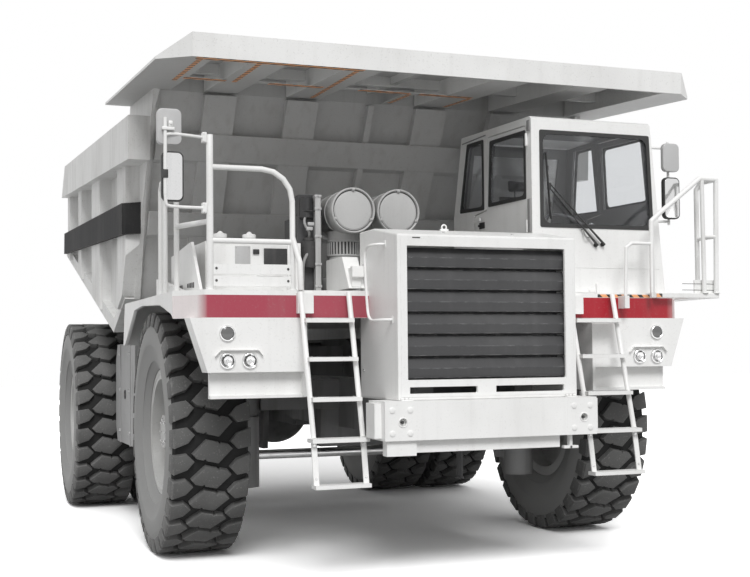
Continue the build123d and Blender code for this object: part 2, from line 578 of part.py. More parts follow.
door_right = door_panel(CAB_X0 + 2, CAB_X0 + 40) + block(CAB_X0 - 40, CAB_X0 + 5, -460, -400, 3000, 3020)
door_right = door_right + block(CAB_X0 - 40, CAB_X0 - 25, -560, -400, 2995, 3025)
HINGE_LINE_Y = -1492.0
KNUCKLE_R = 12.0
for z in (2800, 3560):
    door_right = door_right + rod((CAB_X0 - KNUCKLE_R - 0.5, HINGE_LINE_Y, z),
                                  (CAB_X0 - KNUCKLE_R - 0.5, HINGE_LINE_Y, z + 110),
                                  KNUCKLE_R)
    door_right = door_right + block(CAB_X0 - 14, CAB_X0 - 0.5, HINGE_LINE_Y, -1465, z + 5, z + 105)
    door_right = door_right + block(CAB_X0 - 14, CAB_X0 + 5, -1479, -1465, z + 5, z + 105)
save("door_right", door_right)
save("door_right_glass", side_cut(inset(door_pane, 0.6), CAB_X0 + 16, CAB_X0 + 16 + PANE))
door_left = door_panel(OUT_HIGH - 100, OUT_LOW + 60) & leaning(2, 38)
door_left = door_left + block(outer_x(3010) - 10, outer_x(3010) + 38, -460, -400, 3000, 3020)
door_left = door_left + block(outer_x(3010) + 26, outer_x(3010) + 40, -560, -400, 2995, 3025)
for z in (2800, 3560):
    door_left = door_left + rod((outer_x(z) + KNUCKLE_R + 0.6, HINGE_LINE_Y, z),
                                (outer_x(z + 110) + KNUCKLE_R + 0.6, HINGE_LINE_Y, z + 110), KNUCKLE_R)
    door_left = door_left + (side_cut([(HINGE_LINE_Y, z + 5), (-1465, z + 5), (-1465, z + 105),
                                       (HINGE_LINE_Y, z + 105)],
                                      OUT_HIGH - 80, OUT_LOW + 60) & leaning(-14, 12.6))
    door_left = door_left + (side_cut([(-1479, z + 5), (-1465, z + 5), (-1465, z + 105), (-1479, z + 105)],
                                      OUT_HIGH - 80, OUT_LOW + 60) & leaning(-14, 20))
save("door_left", door_left)
save("door_left_glass", side_cut(inset(door_pane, 0.6), OUT_HIGH - 100, OUT_LOW + 60) & leaning(16, PANE))

# Dump body: floor on two bolsters with hinge ears, ribbed sides, a leaning front wall and the canopy
FLOOR_LINE = ((2000.0, 2030.0), (TAIL_Y, 3200.0))
WALL_TOP = (120.0, 4188.0)
WALL_BEND = (1250.0, 2330.0)
INSIDE_X = BODY_X - PLATE


def floor_z(y):
    (y0, z0), (y1, z1) = FLOOR_LINE
    return z0 + (z1 - z0) * (y - y0) / (y1 - y0)


def wall_y(z):
    return WALL_TOP[0] + (WALL_BEND[0] - WALL_TOP[0]) * (WALL_TOP[1] - z) / (WALL_TOP[1] - WALL_BEND[1])


def canopy_z(y):
    return CANOPY_LOW + CANOPY_SLOPE * (y - CANOPY_FRONT_Y)


floor = side_cut([(2000, floor_z(2000)), (TAIL_Y, floor_z(TAIL_Y)), (TAIL_Y - 15, floor_z(TAIL_Y) + PLATE),
                  (1985, floor_z(2000) + PLATE)], -INSIDE_X + SEAT, INSIDE_X - SEAT)
bolster = side_cut([(2150, 1930 + SEAT), (5000, 1930 + SEAT), (5350, 2250), (5560, 2400),
                    (5560, floor_z(5560) + 20),
                    (2150, floor_z(2150) + 20)], 380, 500)
ear = side_cut([(5170, 1800), (5230, 1720), (5370, 1720), (5430, 1800), (5560, floor_z(5560) + 20),
                (4900, floor_z(4900) + 20)], 530, 600)
ear = ear - across(520, 610, HINGE_Y, HINGE_Z, PIN_R + 6)
tie_block = block(490, 540, 5380, 5500, 2500, 2700)
UP_PIN_Y = 3350.0
UP_PIN_Z = 2150.0
lug_line = [(3230, 2150), (3290, 2070), (3410, 2070), (3470, 2150), (3560, floor_z(3560) + 20),
            (3140, floor_z(3140) + 20)]
lugs = side_cut(lug_line, 670, 715) + side_cut(lug_line, 885, 930)
for x0, x1 in ((675, 742), (858, 925)):
    lugs = lugs + across(x0, x1, UP_PIN_Y, UP_PIN_Z, 50)
half = bolster + ear + tie_block + lugs
for y in (2600, 3700, 4500, 6200):
    cross = side_cut([(y - 60, floor_z(y - 60) - 100), (y + 60, floor_z(y + 60) - 100),
                      (y + 60, floor_z(y + 60) + 5),
                      (y - 60, floor_z(y - 60) + 5)], -2000, 2000)
    floor = floor + cross
save("body_floor", floor + half + mirrored(half))

# The front wall with two box beams and the ribs that run up into the canopy
bend_y, bend_z = WALL_BEND
wall_out = [(110, canopy_z(110) + 158), WALL_TOP, WALL_BEND, (1974, 2042)]
wall_in = [(1984 - 5, 2095), (1310, 2372), (WALL_TOP[0] + 70, WALL_TOP[1]), (180, canopy_z(180) + 158)]
wall = side_cut(wall_out + wall_in, -INSIDE_X + SEAT, INSIDE_X - SEAT)
for z0, z1 in ((2900, 3150), (3570, 3840)):
    wall = wall + side_cut([(wall_y(z0) + 10, z0), (wall_y(z0) - 110, z0 + 20), (wall_y(z1) - 110, z1 - 20),
                            (wall_y(z1) + 10, z1)], -INSIDE_X + SEAT, INSIDE_X - SEAT)
RIBS = ((-1580.0, 300.0), (-790.0, 310.0), (-100.0, 60.0), (530.0, 330.0), (1320.0, 300.0))
for x, wide in RIBS:
    wall = wall + side_cut([(wall_y(4170) + 10, 4170), (wall_y(4170) - 90, 4170 - 15),
                            (wall_y(2420) - 80, 2420),
                            (wall_y(2340) + 10, 2340)], x - wide / 2, x + wide / 2)
save("body_front_wall", wall)

# One side: plate, box rail, ribs and bottom chord
side_outline = [(WALL_TOP[0] - 60, canopy_z(60) - SEAT), (118, canopy_z(118) - SEAT),
                (118, canopy_z(118) + 159),
                (1400, canopy_z(1400) + 159), (1440, canopy_z(1440)), (1520, 4120), (1800, 4065),
                (5850, 4305), (6250, 3935), (TAIL_Y, floor_z(TAIL_Y) - 20), (2000, floor_z(2000) - 25),
                (WALL_BEND[0] - 40, WALL_BEND[1] - 10)]
plate = side_cut(side_outline, INSIDE_X, BODY_X)
top_rail = side_cut([(240, 3965), (5850, 4311), (6250, 3935), (260, 3560)], BODY_X - 1, RAIL_X)
bottom_rail = side_cut([(2000, floor_z(2000) - 25), (TAIL_Y - 10, floor_z(TAIL_Y) - 20),
                        (TAIL_Y - 60, floor_z(TAIL_Y) + 110), (1920, floor_z(1920) + 130),
                        (WALL_BEND[0] + 80, WALL_BEND[1] + 90), (WALL_BEND[0] - 40, WALL_BEND[1] - 10)],
                       BODY_X - 1, RIB_X - 30)
SIDE_RIBS = ((1240.0, 700.0), (3250.0, 850.0), (4800.0, 480.0), (6080.0, 420.0))
ribs = None
for y, wide in SIDE_RIBS:
    rib = plan_cut([(BODY_X - 1, y - wide / 2), (RIB_X, y - wide / 2 + 70), (RIB_X, y + wide / 2 - 70),
                    (BODY_X - 1, y + wide / 2)], 2000, 3960)
    ribs = rib if ribs is None else ribs + rib
rib_space = side_cut([(WALL_BEND[0] - 40, WALL_BEND[1] + 20), (320, 3700), (6200, 3950),
                      (6640, floor_z(6640) + 60),
                      (2000, floor_z(2000) + 20)], BODY_X - 2, RIB_X + 1)
side_right = mirrored(plate + top_rail + bottom_rail + (ribs & rib_space))
save("body_side_right", side_right)
save("body_side_left", mirrored(side_right))


def band_z(y, low):
    return (2930 + 44.4 * (y - 920) / 1000) if low else (3235 + 39.6 * (y - 920) / 1000)


band = side_cut([(950, band_z(950, True)), (6330, band_z(6330, True)), (6300, band_z(6300, False)),
                 (950, band_z(950, False))], RIB_X + SEAT, BAND_X)
band = band + plan_cut([(BODY_X + SEAT * 2, 790), (BAND_X, 940), (BAND_X, 952), (RIB_X + SEAT, 952),
                        (RIB_X + SEAT, 942), (BODY_X + SEAT * 2, 830)], 2931, 3235)
save("side_bands", band + mirrored(band))

# Canopy, drawn level and then tipped to its slope about its lower front edge
TILT = math.degrees(math.atan(CANOPY_SLOPE))
LONG = 3175.0
section = [(-2451, 0), (-2451, 22), (-2211, 190), (2211, 190), (2451, 22), (2451, 0), (BODY_X + SEAT, 0),
           (BODY_X + SEAT, 160),
           (-BODY_X - SEAT, 160), (-BODY_X - SEAT, 0)]
canopy = prism(Plane((0, 0, 0), x_dir=(-1, 0, 0), z_dir=(0, 1, 0)), [(-x, z) for x, z in section], 0, LONG)
canopy = canopy + block(-2206, 2206, 0, 30, 0, 165)
for x, wide in RIBS + ((-2120.0, 165.0), (2120.0, 165.0)):
    deep = 0 if wide > 100 else 90
    canopy = canopy + block(x - wide / 2, x + wide / 2, 20, 1850, deep, 165)
canopy = canopy + block(-2206, 2206, 1210, 1290, 70, 165)
canopy = canopy - block(-INSIDE_X, INSIDE_X, 2070, LONG + 10, -10, 200)
canopy = canopy - block(-BODY_X - SEAT, BODY_X + SEAT, 1855, LONG + 10, -10, 160)
for side in (-1, 1):
    clip = plan_cut([(side * 2211, -1), (side * 2600, 414), (side * 2600, -50), (side * 2211, -50)], -10, 250)
    canopy = canopy - clip
canopy = Pos(0, CANOPY_FRONT_Y, CANOPY_LOW) * Rot(TILT, 0, 0) * canopy
save("canopy", canopy)

# Hoists: barrel on the frame, a middle tube and a rod whose eye meets the pin under the floor
run_y = UP_PIN_Y - LOW_PIN_Y
run_z = UP_PIN_Z - LOW_PIN_Z
reach = math.hypot(run_y, run_z)
ANGLE = math.degrees(math.atan2(run_y, run_z))


def placed(shape, side):
    """Drawn upright from the lower pin, then leaned back to the rest position."""
    return Pos(side * HOIST_X, LOW_PIN_Y, LOW_PIN_Z) * Rot(-ANGLE, 0, 0) * shape


def up(z0, z1, radius):
    return rod((0, 0, z0), (0, 0, z1), radius)


for side, word in ((-1, "right"), (1, "left")):
    barrel = up(60, 1330, 118) - up(140, 1290, 104) - up(1280, 1340, 96.5) + across(-50, 50, 0, 0, 100)
    barrel = barrel - across(-60, 60, 0, 0, 55.5)
    middle = up(150, 1375, 96) - up(170, 1335, 84) - up(1325, 1385, 76.5)
    inner = up(190, reach - 70, 76) + across(-50, 50, 0, reach, 95)
    save("hoist_barrel_" + word, placed(barrel, side))
    save("hoist_tube_" + word, placed(middle, side))
    save("hoist_rod_" + word, placed(inner, side))

print(len(written), "nodes written")
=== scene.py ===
# %% [markdown]
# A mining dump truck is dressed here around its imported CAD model.
# The model comes in first, as a fixed frame, and every new piece rides on one of its bodies.
# All places are metres from the front axle line, as in the part's source, so one helper adds the shift.

import math

import bmesh
import bpy
from mathutils import Matrix, Vector


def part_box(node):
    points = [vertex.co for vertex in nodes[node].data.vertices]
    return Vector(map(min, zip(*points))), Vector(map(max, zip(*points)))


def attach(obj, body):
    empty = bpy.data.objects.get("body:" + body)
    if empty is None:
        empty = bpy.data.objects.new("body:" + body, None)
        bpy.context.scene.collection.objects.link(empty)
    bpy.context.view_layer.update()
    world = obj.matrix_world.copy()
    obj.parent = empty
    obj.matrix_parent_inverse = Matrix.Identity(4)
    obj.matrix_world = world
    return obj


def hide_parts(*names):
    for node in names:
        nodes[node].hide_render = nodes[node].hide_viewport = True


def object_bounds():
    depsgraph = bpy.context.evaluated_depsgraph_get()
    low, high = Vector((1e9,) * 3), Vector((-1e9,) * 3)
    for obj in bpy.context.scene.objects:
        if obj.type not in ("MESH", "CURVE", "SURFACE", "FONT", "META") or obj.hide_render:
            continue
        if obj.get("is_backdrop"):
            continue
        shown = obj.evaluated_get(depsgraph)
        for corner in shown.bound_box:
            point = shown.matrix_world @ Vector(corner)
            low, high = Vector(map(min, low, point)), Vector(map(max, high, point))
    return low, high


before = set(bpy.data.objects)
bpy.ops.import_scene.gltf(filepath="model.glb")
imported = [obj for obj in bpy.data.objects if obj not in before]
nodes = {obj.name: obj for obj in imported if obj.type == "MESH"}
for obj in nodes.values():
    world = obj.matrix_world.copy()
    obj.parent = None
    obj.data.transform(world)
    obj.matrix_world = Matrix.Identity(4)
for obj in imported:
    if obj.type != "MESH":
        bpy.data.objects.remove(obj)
cad_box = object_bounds()
front_low, front_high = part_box("front_rim_right")
rear_low, rear_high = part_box("rear_rims_right")
AXLE_Y = (front_low.y + front_high.y) / 2
AXLE_Z = (front_low.z + front_high.z) / 2
WHEELBASE = (rear_low.y + rear_high.y) / 2 - AXLE_Y
print("front axle at", round(AXLE_Y, 3), round(AXLE_Z, 3), "wheelbase", round(WHEELBASE, 3))


def at(x, y, z):
    return Vector((x, y + AXLE_Y, z))


# %% [markdown]
# Shapes are made with bmesh operators: a cube, a cone or a circle is created, moved and bevelled.

# %% Helpers for rigid pieces
SHARP = math.radians(32)


def along(centre, axis):
    turn = Vector(axis).to_track_quat("Z", "Y").to_matrix().to_4x4()
    return Matrix.Translation(Vector(centre)) @ turn


def soften(bm, verts, width, segments=2):
    edges = list({edge for vert in verts for edge in vert.link_edges})
    bmesh.ops.bevel(bm, geom=edges, offset=width, segments=segments, profile=0.5,
                    affect="EDGES", material=-1, clamp_overlap=True)


def add_box(bm, low, high, bevel=0.0, turn=None):
    low, high = Vector(low), Vector(high)
    verts = bmesh.ops.create_cube(bm, size=1.0)["verts"]
    bmesh.ops.scale(bm, vec=high - low, verts=verts)
    if turn is not None:
        bmesh.ops.transform(bm, matrix=turn.to_4x4(), verts=verts)
    bmesh.ops.translate(bm, vec=(low + high) / 2, verts=verts)
    if bevel:
        soften(bm, verts, bevel)


def add_disc(bm, foot, axis, radius, depth, top=None, sides=32, bevel=0.0):
    axis = Vector(axis).normalized()
    made = bmesh.ops.create_cone(bm, cap_ends=True, segments=sides, radius1=radius,
                                 radius2=radius if top is None else top, depth=depth,
                                 matrix=along(Vector(foot) + axis * depth / 2, axis))
    if bevel:
        soften(bm, made["verts"], bevel, 1)


def add_bolt(bm, foot, axis, size):
    """A washer with a hexagon head on it; size is the head's radius."""
    axis = Vector(axis).normalized()
    add_disc(bm, foot, axis, size * 1.45, size * 0.3, sides=18)
    add_disc(bm, Vector(foot) + axis * size * 0.28, axis, size, size * 0.8, top=size * 0.93, sides=6)


def add_ring(bm, centre, axis, radius, thick, sides=40, around=8):
    """A round ring: a small circle spun about the axis."""
    place = along(centre, axis)
    start = bmesh.ops.create_circle(bm, segments=around, radius=thick,
                                    matrix=place @ Matrix.Translation((radius, 0,
                                                                       0)) @ Matrix.Rotation(math.pi / 2, 4,
                                                                                             "X"))
    edges = list({edge for vert in start["verts"] for edge in vert.link_edges})
    bmesh.ops.spin(bm, geom=edges, cent=place.translation, axis=place.to_3x3() @ Vector((0, 0, 1)),
                   angle=math.tau, steps=sides, use_merge=True)


def spin_profile(bm, profile, centre, axis, side, steps=48):
    """Turn an outline of (distance along the axis, radius) pairs about the axis."""
    axis, side = Vector(axis).normalized(), Vector(side).normalized()
    centre = Vector(centre)
    verts = [bm.verts.new(centre + axis * a + side * r) for a, r in profile]
    edges = [bm.edges.new(pair) for pair in zip(verts, verts[1:])]
    bmesh.ops.spin(bm, geom=verts + edges, cent=centre, axis=axis, angle=math.tau, steps=steps,
                   use_merge=True)


def add_plate(bm, corners, thick, normal):
    """A flat outline pushed along its normal."""
    verts = [bm.verts.new(corner) for corner in corners]
    face = bm.faces.new(verts)
    made = bmesh.ops.extrude_face_region(bm, geom=[face])
    moved = [item for item in made["geom"] if isinstance(item, bmesh.types.BMVert)]
    bmesh.ops.translate(bm, vec=Vector(normal).normalized() * thick, verts=moved)


def finish(name, bm, body, material, doubles=0.0, flat=False):
    if doubles:
        bmesh.ops.remove_doubles(bm, verts=bm.verts, dist=doubles)
    bmesh.ops.recalc_face_normals(bm, faces=bm.faces)
    mesh = bpy.data.meshes.new(name)
    bm.to_mesh(mesh)
    bm.free()
    if not flat:
        mesh.shade_smooth()
        mesh.set_sharp_from_angle(angle=SHARP)
    piece = bpy.data.objects.new(name, mesh)
    bpy.context.scene.collection.objects.link(piece)
    for one in material if isinstance(material, (list, tuple)) else [material]:
        mesh.materials.append(one)
    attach(piece, body)
    return piece


def tube(name, points, radius, body, material, order=3):
    """A bent round bar: a smooth curve through the points' hull, made a mesh."""
    curve = bpy.data.curves.new(name, "CURVE")
    curve.dimensions = "3D"
    curve.bevel_depth = radius
    curve.bevel_resolution = 3
    curve.use_fill_caps = True
    curve.resolution_u = 6
    spline = curve.splines.new("NURBS")
    spline.points.add(len(points) - 1)
    for point, place in zip(spline.points, points):
        point.co = (*place, 1.0)
    spline.order_u = order
    spline.use_endpoint_u = True
    holder = bpy.data.objects.new(name, curve)
    mesh = bpy.data.meshes.new_from_object(holder)
    bpy.data.objects.remove(holder)
    bm = bmesh.new()
    bm.from_mesh(mesh)
    return finish(name, bm, body, material, doubles=0.0001)


# %% [markdown]
# The camera stands where the photograph was taken: low, in front of the truck's right corner, with a long
# lens. Its place came from matching lamps, wheels and bolts in the photograph to their places on the CAD
# model.

# %% Camera
CAMERA = Vector((-4.100, -11.0214 + AXLE_Y, 1.757))
YAW, PITCH, ROLL = 0.3639, 0.0371, -0.0098
IMAGE_W, IMAGE_H = 750, 577
FOCAL_PX, CENTRE_U, CENTRE_V = 1223.56, 394.52, 307.90
flat_ahead = Vector((math.sin(YAW), math.cos(YAW), 0))
flat_right = Vector((math.cos(YAW), -math.sin(YAW), 0))
ahead = math.cos(PITCH) * flat_ahead + math.sin(PITCH) * Vector((0, 0, 1))
over = -math.sin(PITCH) * flat_ahead + math.cos(PITCH) * Vector((0, 0, 1))
right = math.cos(ROLL) * flat_right + math.sin(ROLL) * over
upward = -math.sin(ROLL) * flat_right + math.cos(ROLL) * over
lens = bpy.data.cameras.new("camera")
lens.sensor_width = 36.0
lens.lens = FOCAL_PX / IMAGE_W * lens.sensor_width
lens.shift_x = (IMAGE_W / 2 - CENTRE_U) / IMAGE_W
lens.shift_y = (CENTRE_V - IMAGE_H / 2) / IMAGE_W
camera = bpy.data.objects.new("camera", lens)
turn = Matrix((right, upward, -ahead)).transposed()
camera.matrix_world = Matrix.Translation(CAMERA) @ turn.to_4x4()
bpy.context.scene.collection.objects.link(camera)
bpy.context.scene.camera = camera
bpy.context.scene.view_settings.view_transform = "Standard"
print("lens", round(lens.lens, 2), "mm")

# %% [markdown]
# The light is a bright, even sky with one soft sun in front. The floor looks white to the camera, yet
# throws back less light than white would, so that the canopy's underside stays in shade as outdoors.

# %% World, sun and floor
SKY_FILL = 0.62
SUN_POWER = 2.1
SUN_FROM = Vector((-0.22, -1.0, 0.95))
SUN_SOFT = math.radians(24)
FLOOR_SEEN = 1.55
FLOOR_BOUNCE = 0.30


def camera_sees(tree):
    """1 where the camera sees a thing directly, mirrored or through glass."""
    path = tree.nodes.new("ShaderNodeLightPath")
    first = tree.nodes.new("ShaderNodeMath")
    first.operation = "MAXIMUM"
    tree.links.new(path.outputs["Is Camera Ray"], first.inputs[0])
    tree.links.new(path.outputs["Is Glossy Ray"], first.inputs[1])
    both = tree.nodes.new("ShaderNodeMath")
    both.operation = "MAXIMUM"
    tree.links.new(first.outputs[0], both.inputs[0])
    tree.links.new(path.outputs["Is Transmission Ray"], both.inputs[1])
    return both.outputs[0]


world = bpy.data.worlds.new("plain sky")
bpy.context.scene.world = world
world.use_nodes = True
sky = world.node_tree
shade = sky.nodes["Background"]
strength = sky.nodes.new("ShaderNodeMapRange")
strength.inputs["To Min"].default_value = SKY_FILL
strength.inputs["To Max"].default_value = 1.0
sky.links.new(camera_sees(sky), strength.inputs["Value"])
sky.links.new(strength.outputs[0], shade.inputs["Strength"])
shade.inputs["Color"].default_value = (1, 1, 1, 1)

sun = bpy.data.lights.new("soft sun", "SUN")
sun.energy = SUN_POWER
sun.angle = SUN_SOFT
sun_lamp = bpy.data.objects.new("soft_sun", sun)
sun_lamp.rotation_mode = "QUATERNION"
sun_lamp.rotation_quaternion = SUN_FROM.to_track_quat("Z", "Y")
bpy.context.scene.collection.objects.link(sun_lamp)

FLOOR_HALF = 60.0
FLOOR_DROP = 0.0015
bm = bmesh.new()
bmesh.ops.create_grid(bm, x_segments=1, y_segments=1, size=FLOOR_HALF)
bmesh.ops.translate(bm, vec=(0, 0, -FLOOR_DROP), verts=bm.verts)
floor_mesh = bpy.data.meshes.new("floor")
bm.to_mesh(floor_mesh)
bm.free()
floor = bpy.data.objects.new("floor", floor_mesh)
bpy.context.scene.collection.objects.link(floor)
floor_paint = bpy.data.materials.new("studio floor")
floor_paint.use_nodes = True
tree = floor_paint.node_tree
tree.nodes.remove(tree.nodes["Principled BSDF"])
matt = tree.nodes.new("ShaderNodeBsdfDiffuse")
level = tree.nodes.new("ShaderNodeMapRange")
level.inputs["To Min"].default_value = FLOOR_BOUNCE
level.inputs["To Max"].default_value = FLOOR_SEEN
tree.links.new(camera_sees(tree), level.inputs["Value"])
tree.links.new(level.outputs[0], matt.inputs["Color"])
tree.links.new(matt.outputs[0], tree.nodes["Material Output"].inputs["Surface"])
floor_mesh.materials.append(floor_paint)
floor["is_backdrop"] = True

# %% [markdown]
# Weathered paint is one effect that every painted piece shares, so it is a node group: large soft stains,
# thin streaks that run down, and fine speckle. Edge wear is a second group, which finds edges by comparing
# the true normal with a rounded one. Both give only masks, and each material mixes its own colours with them.

# %% Node groups for grime and edge wear


def new_group(name, inputs, outputs):
    group = bpy.data.node_groups.new(name, "ShaderNodeTree")
    for label, kind, value in inputs:
        socket = group.interface.new_socket(name=label, in_out="INPUT", socket_type="NodeSocket" + kind)
        socket.default_value = value
    for label, kind in outputs:
        group.interface.new_socket(name=label, in_out="OUTPUT", socket_type="NodeSocket" + kind)
    return group, group.nodes.new("NodeGroupInput"), group.nodes.new("NodeGroupOutput")


def math_node(tree, operation, first, second):
    node = tree.nodes.new("ShaderNodeMath")
    node.operation = operation
    for socket, value in zip(node.inputs, (first, second)):
        if isinstance(value, (int, float)):
            socket.default_value = value
        else:
            tree.links.new(value, socket)
    return node.outputs[0]


def spread(tree, value, low, high, out_low=0.0, out_high=1.0):
    """Stretch a value between two limits, clamped."""
    node = tree.nodes.new("ShaderNodeMapRange")
    tree.links.new(value, node.inputs["Value"])
    for label, number in (("From Min", low), ("From Max", high), ("To Min", out_low), ("To Max", out_high)):
        if isinstance(number, (int, float)):
            node.inputs[label].default_value = number
        else:
            tree.links.new(number, node.inputs[label])
    return node.outputs[0]


def noise_at(tree, coordinates, scale, detail=4.0, stretch=(1, 1, 1)):
    mapping = tree.nodes.new("ShaderNodeMapping")
    mapping.inputs["Scale"].default_value = stretch
    tree.links.new(coordinates, mapping.inputs["Vector"])
    noise = tree.nodes.new("ShaderNodeTexNoise")
    noise.inputs["Detail"].default_value = detail
    if isinstance(scale, (int, float)):
        noise.inputs["Scale"].default_value = scale
    else:
        tree.links.new(scale, noise.inputs["Scale"])
    tree.links.new(mapping.outputs[0], noise.inputs["Vector"])
    return noise.outputs["Fac"]


grime, source, sink = new_group("grime", (("Stains", "Float", 0.4), ("Streaks", "Float", 0.3),
                                          ("Speckle", "Float", 0.2)),
                                (("Mask", "Float"), ("Height", "Float")))
where = grime.nodes.new("ShaderNodeTexCoord").outputs["Object"]
stains = spread(grime, noise_at(grime, where, 1.3, 6.0), 0.48, 0.74)
streaks = spread(grime, noise_at(grime, where, 2.2, 5.0, (5.0, 5.0, 0.45)), 0.52, 0.72)
speckle = spread(grime, noise_at(grime, where, 70.0, 3.0), 0.60, 0.72)
total = math_node(grime, "MULTIPLY", stains, source.outputs["Stains"])
total = math_node(grime, "ADD", total, math_node(grime, "MULTIPLY", streaks, source.outputs["Streaks"]))
total = math_node(grime, "ADD", total, math_node(grime, "MULTIPLY", speckle, source.outputs["Speckle"]))
grime.links.new(math_node(grime, "MINIMUM", total, 1.0), sink.inputs["Mask"])
grime.links.new(noise_at(grime, where, 24.0, 4.0), sink.inputs["Height"])

wear, source, sink = new_group("edge wear", (("Radius", "Float", 0.012), ("Amount", "Float", 0.5)),
                               (("Mask", "Float"),))
geometry = wear.nodes.new("ShaderNodeNewGeometry")
rounded = wear.nodes.new("ShaderNodeBevel")
rounded.samples = 3
wear.links.new(source.outputs["Radius"], rounded.inputs["Radius"])
turned = wear.nodes.new("ShaderNodeVectorMath")
turned.operation = "DOT_PRODUCT"
wear.links.new(geometry.outputs["Normal"], turned.inputs[0])
wear.links.new(rounded.outputs["Normal"], turned.inputs[1])
edge = spread(wear, turned.outputs["Value"], 0.99, 0.80)
where = wear.nodes.new("ShaderNodeTexCoord").outputs["Object"]
broken = spread(wear, noise_at(wear, where, 14.0, 5.0), 0.46, 0.62)
wear.links.new(math_node(wear, "MULTIPLY", math_node(wear, "MULTIPLY", edge, broken),
                         source.outputs["Amount"]), sink.inputs["Mask"])
print("groups", [group.name for group in bpy.data.node_groups])

# %% [markdown]
# Each finish is then a short call: its own colour, the colour that dirt and wear turn it to, and how matt it
# is. The photograph is a white truck in grey light, so paints differ mostly in how much grime they carry; the
# front wall, the canopy's underside, the cab's inside faces and the tyre grooves are also darkened as painted
# shade.

# %% Paints, metals, rubber and glass
DIRT = (0.30, 0.285, 0.265, 1)
BARE = (0.36, 0.34, 0.32, 1)
# Mid grey: the painted shade under the canopy, and the pale front post of the service unit.
PAINTED_SHADE_AND_POST_GREY = (0.52, 0.52, 0.515, 1)


def mix(tree, factor, first, second):
    node = tree.nodes.new("ShaderNodeMix")
    node.data_type = "RGBA"
    tree.links.new(factor, node.inputs["Factor"])
    for label, value in (("A", first), ("B", second)):
        socket = [s for s in node.inputs if s.name == label and s.type == "RGBA"][0]
        if isinstance(value, tuple):
            socket.default_value = value
        else:
            tree.links.new(value, socket)
    return [s for s in node.outputs if s.type == "RGBA"][0]


def placed_group(tree, group, **values):
    node = tree.nodes.new("ShaderNodeGroup")
    node.node_tree = group
    for label, value in values.items():
        node.inputs[label].default_value = value
    return node


def paint(name, colour, dirt=DIRT, stains=0.25, streaks=0.2, speckle=0.15, worn=0.3, bare=BARE, rough=0.42,
          rough_dirt=0.75, metal=0.0, bump=0.25, coat=0.0, specular=0.5, extra=None):
    material = bpy.data.materials.new(name)
    material.use_nodes = True
    tree = material.node_tree
    shader = tree.nodes["Principled BSDF"]
    shader.inputs["Metallic"].default_value = metal
    shader.inputs["Coat Weight"].default_value = coat
    shader.inputs["Specular IOR Level"].default_value = specular
    dirty = placed_group(tree, grime, Stains=stains, Streaks=streaks, Speckle=speckle)
    colour = (*colour, 1)
    if extra is not None:
        colour = extra(tree, colour)
    surface = mix(tree, dirty.outputs["Mask"], colour, dirt)
    if worn:
        edges = placed_group(tree, wear, Amount=worn)
        surface = mix(tree, edges.outputs["Mask"], surface, bare)
    tree.links.new(surface, shader.inputs["Base Color"])
    tree.links.new(spread(tree, dirty.outputs["Mask"], 0.0, 1.0, rough, rough_dirt),
                   shader.inputs["Roughness"])
    relief = tree.nodes.new("ShaderNodeBump")
    relief.inputs["Strength"].default_value = bump
    relief.inputs["Distance"].default_value = 0.002
    tree.links.new(dirty.outputs["Height"], relief.inputs["Height"])
    tree.links.new(relief.outputs["Normal"], shader.inputs["Normal"])
    return material


def axis_of(tree, axis):
    split = tree.nodes.new("ShaderNodeSeparateXYZ")
    tree.links.new(tree.nodes.new("ShaderNodeTexCoord").outputs["Object"], split.inputs[0])
    return split.outputs[axis]


STRIPE_LOW, STRIPE_HIGH = 2.047, 2.224
STRIPE_BACK = -1.40
STRIPE_RED = (0.36, 0.006, 0.018, 1)
STRIPE_PALE = (0.36, 0.045, 0.075, 1)
STRIPE_FADES = ((-2.16, -2.09, 0.18), (2.20, 2.05, 0.45))


def stripe(tree, colour):
    """A red band round the front edge of the deck, paler on the truck's right and weaker round both corners.
    """
    height = axis_of(tree, "Z")
    inside = math_node(tree, "MULTIPLY", math_node(tree, "GREATER_THAN", height, STRIPE_LOW),
                       math_node(tree, "LESS_THAN", height, STRIPE_HIGH))
    front = math_node(tree, "LESS_THAN", axis_of(tree, "Y"), STRIPE_BACK + AXLE_Y)
    inside = math_node(tree, "MULTIPLY", inside, front)
    for start, stop, least in STRIPE_FADES:
        inside = math_node(tree, "MULTIPLY", inside, spread(tree, axis_of(tree, "X"), start, stop, least,
                                                            1.0))
    side = spread(tree, axis_of(tree, "X"), -0.5, 0.5)
    red = mix(tree, side, STRIPE_PALE, STRIPE_RED)
    return mix(tree, inside, colour, red)


CAB_FRONT = -1.560
CAB_RIGHT = 0.790
CAB_FLOOR = 2.2653
OUT_LOW, OUT_HIGH, OUT_RISE = 2.125, 1.985, 1.6047
LEAN = (OUT_HIGH - OUT_LOW) / OUT_RISE
BACK_FOOT, BACK_BEND, BACK_LEAN_IN = 0.130, 3.080, 210 / 782
SKIN = 0.022
LINING_TOP = 3.800
# Dark grey for the cab's inside faces: a lining colour, set this dark as painted shade for the dim cab
# interior.
LINING_AND_SHADE_GREY = (0.150, 0.150, 0.155, 1)


